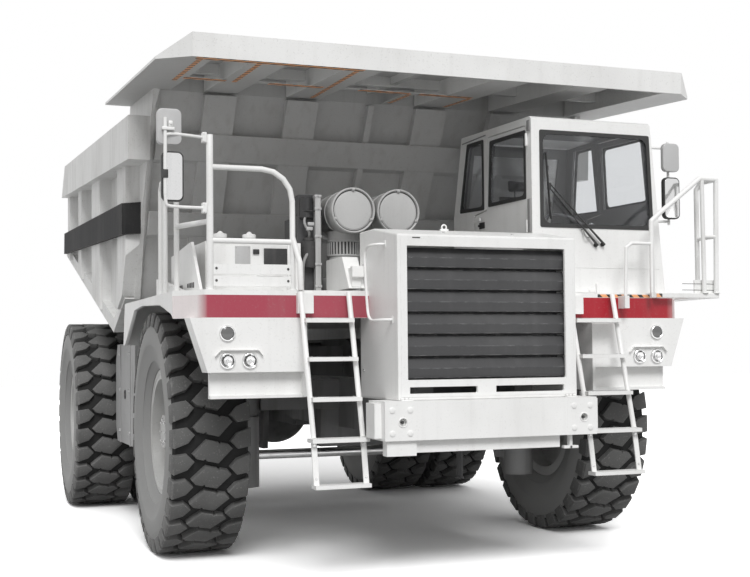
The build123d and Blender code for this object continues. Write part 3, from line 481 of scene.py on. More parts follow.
def cab_lining_and_painted_shade(tree, colour):
    """Dark grey on the faces inside the cab's walls, more than SKIN in from each outer face: a lining colour,
    set dark as painted shade for the dim interior.
    """
    x, y, z = (axis_of(tree, axis) for axis in "XYZ")
    outer = math_node(tree, "SUBTRACT", x, math_node(tree, "MULTIPLY", z, LEAN))
    rise = math_node(tree, "MAXIMUM", math_node(tree, "SUBTRACT", z, BACK_BEND), 0.0)
    rear = math_node(tree, "ADD", y, math_node(tree, "MULTIPLY", rise, BACK_LEAN_IN))
    inside = math_node(tree, "GREATER_THAN", x, CAB_RIGHT + SKIN)
    for value, kind, limit in ((outer, "LESS_THAN", OUT_LOW - LEAN * CAB_FLOOR - SKIN),
                               (y, "GREATER_THAN", CAB_FRONT + AXLE_Y + SKIN),
                               (rear, "LESS_THAN", BACK_FOOT + AXLE_Y - SKIN), (z, "LESS_THAN", LINING_TOP)):
        inside = math_node(tree, "MULTIPLY", inside, math_node(tree, kind, value, limit))
    return mix(tree, inside, colour, LINING_AND_SHADE_GREY)


WHITE = (0.86, 0.86, 0.85)
white_paint = paint("white paint", WHITE, stains=0.16, streaks=0.08, speckle=0.12)
cab_paint_lined_and_shaded = paint("white cab paint, dark inside", WHITE, stains=0.12, streaks=0.08, speckle=0.12,
                    extra=cab_lining_and_painted_shade)
striped_paint = paint("white paint with a red band", WHITE, stains=0.12, streaks=0.08, extra=stripe)
body_paint = paint("dump body paint", (0.76, 0.76, 0.75), stains=0.26, streaks=0.20, speckle=0.25, worn=0.45,
                   rough=0.5)
# The front wall is a darker grey than the body: painted shade under the canopy, with its own stains on top.
front_wall_painted_shade = paint("front wall paint darkened as painted shade", (0.58, 0.58, 0.575), stains=0.24, streaks=0.20, speckle=0.25,
                   worn=0.45, rough=0.5)


def painted_shade_below(tree, colour):
    """Faces that look down are darker: painted shade on the canopy's underside."""
    split = tree.nodes.new("ShaderNodeSeparateXYZ")
    tree.links.new(tree.nodes.new("ShaderNodeNewGeometry").outputs["True Normal"], split.inputs[0])
    return mix(tree, spread(tree, split.outputs["Z"], -0.2, -0.6), colour, PAINTED_SHADE_AND_POST_GREY)


# The canopy's paint carries painted shade on each face that looks down.
canopy_paint = paint("canopy paint with painted shade below", (0.84, 0.84, 0.83), stains=0.14, streaks=0.08, speckle=0.2, worn=0.35,
                     rough=0.5, extra=painted_shade_below)
band_paint = paint("band paint", (0.022, 0.022, 0.023), (0.10, 0.098, 0.095, 1), stains=0.3, streaks=0.2,
                   worn=0.5, rough=0.7, specular=0.08)
grey_paint = paint("grey paint", (0.36, 0.36, 0.36), (0.16, 0.155, 0.15, 1), stains=0.4, streaks=0.4,
                   rough=0.55)
dark_paint = paint("dark paint", (0.040, 0.040, 0.041), (0.13, 0.125, 0.12, 1), stains=0.35, streaks=0.3,
                   worn=0.35, rough=0.5, specular=0.3)
louvre_paint = paint("louvre paint", (0.060, 0.060, 0.062), (0.13, 0.13, 0.13, 1), stains=0.4, streaks=0.15,
                     worn=0.8, bare=(0.42, 0.42, 0.42, 1), rough=0.45, specular=0.3)
engine_iron = paint("engine iron", (0.12, 0.12, 0.12), (0.05, 0.048, 0.045, 1), stains=0.6, rough=0.7)
frame_paint = paint("frame paint", (0.20, 0.20, 0.20), (0.07, 0.066, 0.06, 1), stains=0.6, streaks=0.4,
                    rough=0.65)
bright_steel = paint("bright steel", (0.60, 0.60, 0.60), (0.30, 0.29, 0.28, 1), stains=0.3, worn=0.0,
                     rough=0.28, metal=1.0, bump=0.1)
rim_paint = paint("rim paint", (0.50, 0.50, 0.49), (0.20, 0.19, 0.18, 1), stains=0.5, streaks=0.1, worn=0.5,
                  rough=0.5)
tail_red = paint("tail lamp red", (0.45, 0.02, 0.02), stains=0.15, worn=0.0, rough=0.15, bump=0.0)
cab_plastic = paint("cab plastic", (0.10, 0.10, 0.105), (0.17, 0.165, 0.16, 1), stains=0.25, streaks=0.0,
                    worn=0.0, rough=0.6, bump=0.5)
dash_plastic = paint("dash plastic", (0.42, 0.42, 0.42), (0.25, 0.245, 0.24, 1), stains=0.2, streaks=0.0,
                     worn=0.0, rough=0.6, bump=0.5)
mirror_black = paint("mirror shell", (0.24, 0.24, 0.24), (0.34, 0.33, 0.32, 1), stains=0.3, worn=0.2,
                     rough=0.5)
seal_rubber = paint("seal rubber", (0.018, 0.018, 0.018), (0.07, 0.068, 0.065, 1), stains=0.3, streaks=0.2,
                    worn=0.0, rough=0.6)
tread_rubber = paint("tread rubber", (0.105, 0.105, 0.103), (0.27, 0.265, 0.26, 1), stains=0.45, streaks=0.0,
                     speckle=0.5, worn=0.6, bare=(0.36, 0.355, 0.35, 1), rough=0.8, bump=0.8)
# Near-black rubber for the carcass between the tread blocks: painted shade in the grooves.
groove_rubber_painted_shade = paint("groove rubber darkened as painted shade", (0.012, 0.012, 0.012), (0.05, 0.048, 0.045, 1), stains=0.3,
                      streaks=0.0, worn=0.0, rough=0.9)
wall_rubber = paint("sidewall rubber", (0.29, 0.29, 0.286), (0.33, 0.325, 0.32, 1), stains=0.6, streaks=0.0,
                    speckle=0.3, worn=0.0, rough=0.8, bump=0.6)
lamp_chrome = paint("lamp reflector", (0.72, 0.72, 0.72), (0.3, 0.3, 0.3, 1), stains=0.1, worn=0.0,
                    rough=0.12, metal=1.0, bump=0.0)
BARS_PER_METRE = 9.5
ORANGE_SHARE = 0.58
TAPE_BLACK = (0.02, 0.02, 0.02, 1)


def slanting_bars(tree, colour):
    """Orange and black bars at 45 degrees, for warning tape."""
    slant = math_node(tree, "ADD", axis_of(tree, "X"), math_node(tree, "ADD", axis_of(tree, "Z"),
                                                                 axis_of(tree, "Y")))
    wave = math_node(tree, "FRACT", math_node(tree, "MULTIPLY", slant, BARS_PER_METRE), 0.0)
    return mix(tree, math_node(tree, "GREATER_THAN", wave, ORANGE_SHARE), colour, TAPE_BLACK)


warning_tape = paint("warning tape", (0.92, 0.44, 0.20), (0.60, 0.46, 0.38, 1), stains=0.10, streaks=0.0,
                     worn=0.0, rough=0.5, bump=0.0, extra=slanting_bars)
PALE_BEFORE = -0.882


def pale_post(tree, colour):
    """The unit's front post is pale, and the blocks behind it stay dark."""
    return mix(tree, math_node(tree, "LESS_THAN", axis_of(tree, "Y"), PALE_BEFORE + AXLE_Y), colour,
               PAINTED_SHADE_AND_POST_GREY)


post_paint = paint("service unit paint", (0.045, 0.045, 0.047), (0.14, 0.135, 0.13, 1), stains=0.3, worn=0.2,
                   extra=pale_post)


def clear(name, colour, rough):
    """Glass that lets lamp light through, so the cab behind it isn't black."""
    material = bpy.data.materials.new(name)
    material.use_nodes = True
    tree = material.node_tree
    shader = tree.nodes["Principled BSDF"]
    shader.inputs["Base Color"].default_value = (*colour, 1)
    shader.inputs["Transmission Weight"].default_value = 1.0
    shader.inputs["IOR"].default_value = 1.45
    dusty = placed_group(tree, grime, Stains=0.5, Streaks=0.5, Speckle=0.2)
    tree.links.new(spread(tree, dusty.outputs["Mask"], 0.0, 1.0, rough, rough + 0.05),
                   shader.inputs["Roughness"])
    open_ray = tree.nodes.new("ShaderNodeBsdfTransparent")
    open_ray.inputs["Color"].default_value = (*colour, 1)
    blend = tree.nodes.new("ShaderNodeMixShader")
    path = tree.nodes.new("ShaderNodeLightPath")
    tree.links.new(path.outputs["Is Shadow Ray"], blend.inputs["Fac"])
    tree.links.new(shader.outputs[0], blend.inputs[1])
    tree.links.new(open_ray.outputs[0], blend.inputs[2])
    tree.links.new(blend.outputs[0], tree.nodes["Material Output"].inputs["Surface"])
    return material


window_glass = clear("window glass", (0.86, 0.87, 0.88), 0.0)
lamp_glass = clear("lamp glass", (0.9, 0.9, 0.9), 0.02)

# %% [markdown]
# The CAD nodes keep their shapes and get these finishes by their record slots, with a few of their own.
# Their edges are dead sharp, so a weld and a small bevel modifier give them the worn radius of real plate.

# %% Dress the CAD nodes
BY_SLOT = {"white_paint": white_paint, "grey_paint": grey_paint, "dark_paint": dark_paint,
           "engine_iron": engine_iron, "bright_steel": bright_steel, "rim_paint": rim_paint,
           "tyre_rubber": wall_rubber, "window_glass": window_glass, "lamp_glass": lamp_glass,
           "tail_red": tail_red, "cab_plastic": cab_plastic, "mirror_black": mirror_black}
BY_NODE = {"deck_right": striped_paint, "deck_left": striped_paint, "grille_louvres": louvre_paint,
           "canopy": canopy_paint, "body_front_wall": front_wall_painted_shade, "body_side_right": body_paint,
           "body_side_left": body_paint, "body_floor": body_paint, "side_bands": band_paint,
           "cab_shell": cab_paint_lined_and_shaded, "door_right": cab_paint_lined_and_shaded, "door_left": cab_paint_lined_and_shaded,
           "service_unit": post_paint, "frame_rails": frame_paint, "front_axle": frame_paint,
           "rear_axle": frame_paint}
EDGE_RADIUS = {"front_bumper": 0.012, "radiator_housing": 0.012, "cab_shell": 0.015, "canopy": 0.006}
PLAIN_EDGES = ("window_glass", "lamp_glass", "tyre_rubber")
for name, node in nodes.items():
    slots = [m.name.split(".")[0] for m in node.data.materials if m]
    finish_of = slots[0] if slots else "white_paint"
    new = BY_NODE.get(name) or BY_SLOT.get(finish_of, white_paint)
    node.data.materials.clear()
    node.data.materials.append(new)
    if finish_of in PLAIN_EDGES:
        continue
    weld = node.modifiers.new("weld", "WELD")
    weld.merge_threshold = 0.00002
    bevel = node.modifiers.new("worn edges", "BEVEL")
    bevel.width = EDGE_RADIUS.get(name, 0.004)
    bevel.segments = 2
    bevel.limit_method = "ANGLE"
    bevel.angle_limit = math.radians(35)
    bevel.harden_normals = False
print(len(nodes), "CAD nodes dressed")

# %% [markdown]
# The tyres carry the tread that makes such a truck. One pitch of the tread is drawn flat: a wide notched
# block in the middle and a five-sided block on each shoulder, half a pitch away, with a rib that runs down
# the side. The pitch is copied round, then wrapped to the wheel. The carcass is one outline spun about the
# axle.

# %% Tyres
TREAD_R = 1.0705
BASE_R = 1.016
PITCHES = 30
PITCH = math.tau * TREAD_R / PITCHES
HALF_W = 0.340
MIDDLE_HALF = [(-0.170, -0.020), (-0.052, 0.104), (0.048, 0.080), (0.058, 0.062), (0.076, 0.074),
               (0.135, 0.060)]
RIB_IN, RIB_OUT, RIB_HALF, RIB_FOOT, RIB_LEAN = 0.300, 0.324, 0.080, 0.945, 0.014
DRAFT = 0.03
GROOVES_FROM = 0.985
SHOULDER = [(-0.318, 0.080), (-0.212, 0.098), (-0.146, 0.030), (-0.204, -0.040), (-0.318, -0.082)]
CARCASS = [(0.205, 0.5403), (0.2216, 0.5403), (0.2216, 0.5575), (0.243, 0.560), (0.262, 0.590),
           (0.284, 0.628), (0.290, 0.634), (0.296, 0.634), (0.316, 0.700), (0.332, 0.765), (0.336, 0.772),
           (0.3395, 0.782), (HALF_W, 0.830), (0.3385, 0.880), (0.331, 0.930), (0.318, 0.975), (0.298, 1.003),
           (0.262, 1.012), (0.16, BASE_R), (0.0, BASE_R + 0.002)]


def flat_block(bm, outline, shift, low, high, draft):
    """A block drawn in (x, arc) and raised from low to high above the tread's radius, narrower at the top."""
    verts = [bm.verts.new((x, s + shift, low)) for x, s in outline]
    face = bm.faces.new(verts)
    if face.calc_center_median().z > 0 or face.normal.z < 0:
        face.normal_flip()
    made = bmesh.ops.extrude_face_region(bm, geom=[face])
    top = [item for item in made["geom"] if isinstance(item, bmesh.types.BMVert)]
    middle = sum((vert.co for vert in top), Vector()) / len(top)
    bmesh.ops.translate(bm, vec=(0, 0, high - low), verts=top)
    bmesh.ops.scale(bm, vec=(1 - draft, 1 - draft, 1), space=Matrix.Translation((-middle.x, -middle.y, 0)),
                    verts=top)
    upper = [edge for edge in bm.edges if edge.verts[0] in top and edge.verts[1] in top]
    bmesh.ops.bevel(bm, geom=upper, offset=0.007, segments=2, profile=0.5, affect="EDGES", material=-1,
                    clamp_overlap=True)


def tread_pitch():
    bm = bmesh.new()
    middle = MIDDLE_HALF + [(-x, -s) for x, s in MIDDLE_HALF]
    flat_block(bm, middle, 0.0, BASE_R - TREAD_R - 0.01, 0.0, DRAFT)
    for side in (1, -1):
        outline = [(x * side, s * side) for x, s in SHOULDER]
        flat_block(bm, outline, PITCH / 2, BASE_R - TREAD_R - 0.03, -0.002, DRAFT)
        add_box(bm, (side * RIB_IN, PITCH / 2 - RIB_HALF, RIB_FOOT - TREAD_R),
                (side * RIB_OUT, PITCH / 2 + RIB_HALF, -0.016), 0.006)
        lean = [v for v in bm.verts if abs(v.co.x) > 0.299 and v.co.z < -0.05 and v.co.x * side > 0]
        bmesh.ops.translate(bm, vec=(side * RIB_LEAN, 0, 0), verts=lean)
    return bm


def wrapped(bm, centre):
    """Wrap the flat tread about the wheel's axle: arc length becomes an angle."""
    for vert in bm.verts:
        turn = vert.co.y / TREAD_R
        radius = TREAD_R + vert.co.z
        vert.co = Vector((centre.x + vert.co.x, centre.y + radius * math.sin(turn),
                          centre.z + radius * math.cos(turn)))


def make_tyre(name, body):
    low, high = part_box(name)
    centre = (low + high) / 2
    centre.z = AXLE_Z
    bm = bmesh.new()
    profile = CARCASS + [(-x, r) for x, r in reversed(CARCASS[:-1])] + CARCASS[:1]
    spin_profile(bm, profile, centre, (1, 0, 0), (0, 0, 1), steps=90)
    bmesh.ops.remove_doubles(bm, verts=bm.verts, dist=0.0002)
    bmesh.ops.recalc_face_normals(bm, faces=bm.faces)
    # Carcass faces out past GROOVES_FROM lie between the blocks and get the near-black groove rubber, painted
    # shade.
    for face in bm.faces:
        spot = face.calc_center_median()
        radius = math.hypot(spot.y - centre.y, spot.z - centre.z)
        face.material_index = 1 if radius > GROOVES_FROM else 0
    carcass_faces = len(bm.faces)
    pitch = tread_pitch()
    wrapped(pitch, centre)
    bmesh.ops.recalc_face_normals(pitch, faces=pitch.faces)
    for face in pitch.faces:
        face.material_index = 2
    bmesh.ops.spin(pitch, geom=pitch.verts[:] + pitch.edges[:] + pitch.faces[:], cent=centre, axis=(1, 0, 0),
                   angle=math.tau * (PITCHES - 1) / PITCHES, steps=PITCHES - 1, use_duplicate=True)
    ring = bpy.data.meshes.new("tread")
    pitch.to_mesh(ring)
    pitch.free()
    bm.from_mesh(ring)
    bpy.data.meshes.remove(ring)
    mesh = bpy.data.meshes.new(name + "_tread")
    bm.to_mesh(mesh)
    print(name, carcass_faces, "carcass faces,", len(bm.faces), "in all")
    bm.free()
    mesh.shade_smooth()
    mesh.set_sharp_from_angle(angle=SHARP)
    for one in (wall_rubber, groove_rubber_painted_shade, tread_rubber):
        mesh.materials.append(one)
    piece = bpy.data.objects.new(name + "_tread", mesh)
    bpy.context.scene.collection.objects.link(piece)
    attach(piece, body)
    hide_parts(name)


for side in ("right", "left"):
    make_tyre("front_tyre_" + side, "wheel_front_" + side)
    for place in ("outer_", "inner_"):
        make_tyre("rear_tyre_" + place + side, "wheels_rear_" + side)

# %% [markdown]
# Rims of this size are bolted up from rings. The CAD has the ring, the disc and the hub; what is added here
# is the lock rings, the wheel nuts and the hub's cover bolts. Distances are outwards from the middle of each
# wheel.

# %% Wheel nuts and lock rings
NUT_R = 0.016


def ring_of_bolts(bm, centre, axis, radius, count, size):
    axis = Vector(axis)
    for k in range(count):
        turn = math.tau * k / count
        foot = centre + Vector((0, math.cos(turn), math.sin(turn))) * radius
        add_bolt(bm, foot, axis, size)


WHEELS = (("front", "wheel_front_", 1.915, 0.0,
           ((-0.040, 0.400, 20, 1.3), (0.150, 0.205, 12, 1.0), (0.215, 0.110, 8, 0.8)),
           ((0.232, 0.515, 0.010), (-0.030, 0.450, 0.012))),
          ("rear", "wheels_rear_", 2.215, WHEELBASE,
           ((-0.100, 0.415, 20, 1.3), (0.110, 0.280, 16, 1.0), (0.200, 0.150, 8, 0.8)),
           ((0.232, 0.515, 0.010),)))
for word, side in (("right", -1), ("left", 1)):
    low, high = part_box("front_rim_" + word)
    print(word, "front rim from x", round(low.x, 3), "to", round(high.x, 3))
    for end, body, x, y, nut_rings, lock_rings in WHEELS:
        middle = at(side * x, y, AXLE_Z)
        nuts, rings = bmesh.new(), bmesh.new()
        for out, radius, count, size in nut_rings:
            ring_of_bolts(nuts, middle + Vector((side * out, 0, 0)), (side, 0, 0), radius, count,
                          NUT_R * size)
        for out, radius, thick in lock_rings:
            add_ring(rings, middle + Vector((side * out, 0, 0)), (1, 0, 0), radius, thick, 72)
        finish("wheel_nuts_" + end + "_" + word, nuts, body + word, bright_steel)
        finish("lock_ring_" + end + "_" + word, rings, body + word, rim_paint)

# %% [markdown]
# Lamps are small but catch the eye. Each is a spun shell: a rim, a bright bowl and a slightly domed lens.
# The upper lamp of each three is an indicator, with a grey lens. A bent strip shades each lower pair.

# %% Headlamps and brows
LAMP_FACE = -1.690
LAMPS = ((1.937, 1.925, True), (1.937, 1.711, False), (1.759, 1.711, False))
BROW = ((2.036, 1.744), (1.991, 1.791), (1.693, 1.791), (1.655, 1.744))
RIM = ((0.0005, 0.040), (0.0005, 0.063), (0.013, 0.063), (0.019, 0.060), (0.020, 0.055), (0.012, 0.051))
BOWL = ((0.012, 0.051), (0.006, 0.040), (0.0025, 0.022), (0.0015, 0.0))
LENS = ((0.012, 0.051), (0.016, 0.046), (0.019, 0.032), (0.0205, 0.0))
lens_grey = paint("indicator lens", (0.12, 0.12, 0.12), stains=0.1, worn=0.0, rough=0.08, bump=0.3, coat=0.6)
rims, bowls, lenses, greys = bmesh.new(), bmesh.new(), bmesh.new(), bmesh.new()
for side in (-1, 1):
    for x, z, indicator in LAMPS:
        middle = at(side * x, LAMP_FACE, z)
        spin_profile(rims, RIM, middle, (0, -1, 0), (1, 0, 0), 36)
        add_ring(rims, middle + Vector((0, -0.0195, 0)), (0, 1, 0), 0.055, 0.0035, 36, 6)
        spin_profile(greys if indicator else lenses, LENS, middle, (0, -1, 0), (1, 0, 0), 36)
        if not indicator:
            spin_profile(bowls, BOWL, middle, (0, -1, 0), (1, 0, 0), 36)
            add_disc(bowls, middle + Vector((0, -0.002, 0)), (0, -1, 0), 0.012, 0.008, top=0.008, sides=14)
main_lamps = finish("lamp_rims", rims, "chassis", lamp_chrome, 0.0001)
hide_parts("headlamps")
finish("lamp_bowls", bowls, "chassis", lamp_chrome, 0.0001)
finish("lamp_lenses", lenses, "chassis", lamp_glass, 0.0001)
finish("indicator_lenses", greys, "chassis", lens_grey, 0.0001)
bm = bmesh.new()
for side in (-1, 1):
    for (x0, z0), (x1, z1) in zip(BROW, BROW[1:]):
        a, b = at(side * x0, LAMP_FACE, z0), at(side * x1, LAMP_FACE, z1)
        rise = Vector((0, 0, 0.006))
        add_plate(bm, [a, b, b + rise, a + rise], 0.030, (0, -1, 0))
finish("lamp_brows", bm, "chassis", white_paint)

# %% [markdown]
# The bumper is bolted on through four dome heads at each end, round a socket for the towing pin. The housing
# above stands on small hinge tabs, and its front is a separate frame of sheet round the louvres and two
# slots.

# %% Bumper heads, sockets and hinge tabs
BUMPER_FACE = -2.410
DOME = ((0, 0.024), (0.004, 0.024), (0.007, 0.018), (0.008, 0.009), (0.0085, 0.0))
SOCKETS_X, SOCKET_Z = (-0.760, 0.790), 1.235
bm = bmesh.new()
for x in (-0.846, -0.701, 0.701, 0.846):
    for z in (1.152, 1.327):
        spin_profile(bm, DOME, at(x, BUMPER_FACE, z), (0, -1, 0), (1, 0, 0), 20)
for x in SOCKETS_X:
    add_ring(bm, at(x, BUMPER_FACE - 0.001, SOCKET_Z), (0, 1, 0), 0.034, 0.005, 32, 8)
for x0, x1 in ((-0.756, -0.659), (0.656, 0.746)):
    add_box(bm, at(x0, -2.385, 1.395), at(x1, -2.345, 1.404), 0.003)
    for k in range(3):
        step = (x1 - x0) / 3
        add_disc(bm, at(x0 + k * step + 0.004, -2.350, 1.410), (1, 0, 0), 0.008, step - 0.008, sides=12)
finish("bumper_heads", bm, "chassis", white_paint, 0.0001)
bm = bmesh.new()
for x in SOCKETS_X:
    add_disc(bm, at(x, BUMPER_FACE + 0.026, SOCKET_Z), (0, -1, 0), 0.012, 0.020, sides=16, bevel=0.002)
finish("tow_pins", bm, "chassis", dark_paint)

# %% Front frame of the housing
HOUSING_FACE = -2.340
PANEL_T = 0.004
FRAME_X = 0.744
FRAME_LOW, FRAME_TOP = 1.420, 2.655
FRAME_MID = (FRAME_TOP + FRAME_LOW) / 2
HOLES = ((-0.690, 0.670, 1.552, 2.580), (-0.675, -0.110, 1.447, 1.497), (0.050, 0.650, 1.447, 1.497))
bm = bmesh.new()
bmesh.ops.create_grid(bm, x_segments=1, y_segments=1, size=1.0)
bmesh.ops.scale(bm, vec=(FRAME_X, (FRAME_TOP - FRAME_LOW) / 2, 1), verts=bm.verts)
for x0, x1, z0, z1 in HOLES:
    for line, normal in (((x0, 0, 0), (1, 0, 0)), ((x1, 0, 0), (1, 0, 0)),
                         ((0, z0 - FRAME_MID, 0), (0, 1, 0)), ((0, z1 - FRAME_MID, 0), (0, 1, 0))):
        bmesh.ops.bisect_plane(bm, geom=bm.verts[:] + bm.edges[:] + bm.faces[:], plane_co=line,
                               plane_no=normal)
cut = []
for face in bm.faces:
    middle = face.calc_center_median()
    z = middle.y + FRAME_MID
    if any(x0 < middle.x < x1 and z0 < z < z1 for x0, x1, z0, z1 in HOLES):
        cut.append(face)
bmesh.ops.delete(bm, geom=cut, context="FACES")
bmesh.ops.dissolve_limit(bm, angle_limit=0.01, verts=bm.verts, edges=bm.edges)
stand = Matrix.Translation(at(0, HOUSING_FACE - PANEL_T, FRAME_MID)) @ Matrix.Rotation(math.pi / 2, 4, "X")
bmesh.ops.transform(bm, matrix=stand, verts=bm.verts)
made = bmesh.ops.extrude_face_region(bm, geom=bm.faces[:])
moved = [item for item in made["geom"] if isinstance(item, bmesh.types.BMVert)]
bmesh.ops.translate(bm, vec=(0, PANEL_T - 0.0003, 0), verts=moved)
finish("housing_frame", bm, "chassis", white_paint)

bm = bmesh.new()
for side in (-1, 1):
    for z in (1.62, 2.05, 2.48):
        add_bolt(bm, at(side * 0.768, -1.56, z), (side, 0, 0), 0.009)
    add_bolt(bm, at(side * 0.30, -2.15, 2.7045), (0, -0.164, 0.986), 0.009)
finish("housing_bolts", bm, "chassis", bright_steel)
tube("housing_handle", [at(-0.768, -2.068, 2.612), at(-0.868, -2.068, 2.612), at(-0.878, -1.900, 2.590),
                        at(-0.880, -1.925, 2.400), at(-0.880, -1.955, 2.180), at(-0.878, -1.990, 2.010),
                        at(-0.868, -2.215, 2.016), at(-0.768, -2.215, 2.016)], 0.011, "chassis", white_paint)
bm = bmesh.new()
for y, z in ((-2.068, 2.612), (-2.215, 2.016)):
    add_box(bm, at(-0.772, y - 0.028, z - 0.028), at(-0.768, y + 0.028, z + 0.028), 0.0015)
    for shift in (-0.018, 0.018):
        add_bolt(bm, at(-0.772, y + shift, z), (-1, 0, 0), 0.005)
add_box(bm, at(-0.215, -1.895, 2.745), at(-0.145, -1.865, 2.765), 0.004)
add_ring(bm, at(-0.18, -1.88, 2.778), (0, 1, 0), 0.020, 0.007, 24, 8)
finish("housing_fixings", bm, "chassis", white_paint)

# %% [markdown]
# The cab's windows sit in black rubber. Each seal is a band between two rounded outlines, one just outside
# the opening and one inside it, raised a little. The outlines are the CAD's own, with the corners rounded
# here.

# %% Window seals
SEAL_OUT, SEAL_IN, SEAL_T = 0.012, 0.022, 0.014
SEAL_PROUD = 0.006
SEAL_ROUND = 0.020
DOOR_INSET = 0.002


def rounded_outline(points, grow, radius, steps=5):
    """Offset a convex outline by grow and round each corner with an arc of the given radius."""
    middle = Vector((sum(p[0] for p in points), sum(p[1] for p in points))) / len(points)
    count = len(points)
    lines = []
    for k in range(count):
        a, b = Vector(points[k]), Vector(points[(k + 1) % count])
        normal = Vector((b.y - a.y, a.x - b.x)).normalized()
        if normal.dot(a - middle) < 0:
            normal = -normal
        lines.append((a + normal * grow, (b - a).normalized()))
    corners = []
    for k in range(count):
        (p, d), (q, e) = lines[k - 1], lines[k]
        t = ((q - p).x * e.y - (q - p).y * e.x) / (d.x * e.y - d.y * e.x)
        corners.append((p + d * t, d, e))
    made = []
    for corner, d, e in corners:
        half = d.angle(e) / 2
        reach = radius * math.tan(half)
        start, stop = corner - d * reach, corner + e * reach
        for k in range(steps + 1):
            t = k / steps
            made.append((1 - t) ** 2 * start + 2 * t * (1 - t) * corner + t * t * stop)
    return made


def seal(bm, points, to_world, outward, round_in=0.055):
    loops = []
    for edge_grow, radius in ((SEAL_OUT, SEAL_ROUND), (-SEAL_IN, round_in)):
        verts = [bm.verts.new(to_world(p)) for p in rounded_outline(points, edge_grow, radius)]
        edges = [bm.edges.new((verts[k], verts[(k + 1) % len(verts)])) for k in range(len(verts))]
        loops.append(edges)
    bridge = bmesh.ops.bridge_loops(bm, edges=loops[0] + loops[1])
    made = bmesh.ops.extrude_face_region(bm, geom=bridge["faces"])
    moved = [item for item in made["geom"] if isinstance(item, bmesh.types.BMVert)]
    bmesh.ops.translate(bm, vec=Vector(outward).normalized() * SEAL_T, verts=moved)


def outer_x(z):
    return OUT_LOW + LEAN * (z - CAB_FLOOR)


def on_right(inset):
    """Map (y, z) on to the cab's right wall, for a seal set back by inset."""
    return lambda p: at(CAB_RIGHT + inset + SEAL_T - SEAL_PROUD, p[0], p[1])


def on_left(inset):
    """The same for the leaning left wall."""
    return lambda p: at(outer_x(p[1]) - inset - SEAL_T + SEAL_PROUD, p[0], p[1])


SCREEN = ((0.880, 2.855), (2.000, 2.855), (1.965, 3.685), (0.880, 3.685))
DOOR_PANE = ((-1.440, 3.110), (-0.690, 3.125), (-0.735, 3.715), (-1.440, 3.695))
REAR_PANE = ((-0.575, 3.110), (-0.045, 3.135), (-0.225, 3.765), (-0.575, 3.755))
out_normal = Vector((1, 0, -LEAN)).normalized()
bm = bmesh.new()
seal(bm, SCREEN, lambda p: at(p[0], CAB_FRONT + SEAL_T - SEAL_PROUD, p[1]), (0, -1, 0), round_in=0.085)
seal(bm, REAR_PANE, on_right(0.0), (-1, 0, 0))
seal(bm, REAR_PANE, on_left(0.0), out_normal)
finish("window_seals", bm, "chassis", seal_rubber)
for word, place, outward in (("right", on_right(DOOR_INSET), (-1, 0, 0)),
                             ("left", on_left(DOOR_INSET), out_normal)):
    bm = bmesh.new()
    seal(bm, DOOR_PANE, place, outward)
    finish("door_seal_" + word, bm, "cab_door_" + word, seal_rubber)

# %% [markdown]
# Two parallel arms carry one long upright blade across the windscreen. Their spindles stand on the panel
# below it.

# %% Wipers
ARM_Y = CAB_FRONT - 0.030
PIVOTS = ((1.411, 2.696), (1.480, 2.703))
BLADE_TOP, BLADE_FOOT, BLADE_JOIN = (0.925, 3.495), (0.966, 2.915), (0.950, 3.200)
bm = bmesh.new()
for x, z in PIVOTS:
    add_disc(bm, at(x, CAB_FRONT, z), (0, -1, 0), 0.020, 0.020, top=0.016, sides=20, bevel=0.002)
    add_disc(bm, at(x, CAB_FRONT - 0.020, z), (0, -1, 0), 0.011, 0.022, sides=16, bevel=0.002)
lower = at(BLADE_FOOT[0], CAB_FRONT - 0.010, BLADE_FOOT[1])
upper = at(BLADE_TOP[0], CAB_FRONT - 0.010, BLADE_TOP[1])
run = upper - lower
add_disc(bm, lower + Vector((0, -0.008, 0)), run, 0.006, run.length, sides=8)
add_box(bm, at(BLADE_JOIN[0] - 0.014, ARM_Y - 0.006, BLADE_JOIN[1] - 0.030),
        at(BLADE_JOIN[0] + 0.014, CAB_FRONT - 0.014, BLADE_JOIN[1] + 0.030), 0.003)
for shift in (-0.16, 0.16):
    spot = at(BLADE_JOIN[0] - shift * 0.07, CAB_FRONT - 0.016, BLADE_JOIN[1] + shift)
    add_disc(bm, spot + Vector((0, 0, -0.02)), (0, 0, 1), 0.009, 0.04, sides=10)
for (x, z), shift in zip(PIVOTS, (-0.020, 0.020)):
    foot = at(x, ARM_Y - 0.004, z)
    head = at(BLADE_JOIN[0], ARM_Y - 0.004, BLADE_JOIN[1] + shift)
    run = head - foot
    add_disc(bm, foot, run, 0.011, run.length * 0.28, top=0.008, sides=12)
    add_disc(bm, foot + run * 0.27, run, 0.006, run.length * 0.73, sides=10)
finish("wipers", bm, "chassis", seal_rubber)
bm = bmesh.new()
add_plate(bm, [lower + Vector((-0.004, 0, 0)), lower + Vector((0.004, 0, 0)), upper + Vector((0.004, 0, 0)),
               upper + Vector((-0.004, 0, 0))], 0.012, (0, 1, 0))
finish("wiper_rubber", bm, "chassis", seal_rubber)

# %% [markdown]
# Small fittings tell the size of a cab: door hinge covers, locks, a gutter above the windows, the seam where
# the cab meets its base, and a grab hoop under the windscreen.

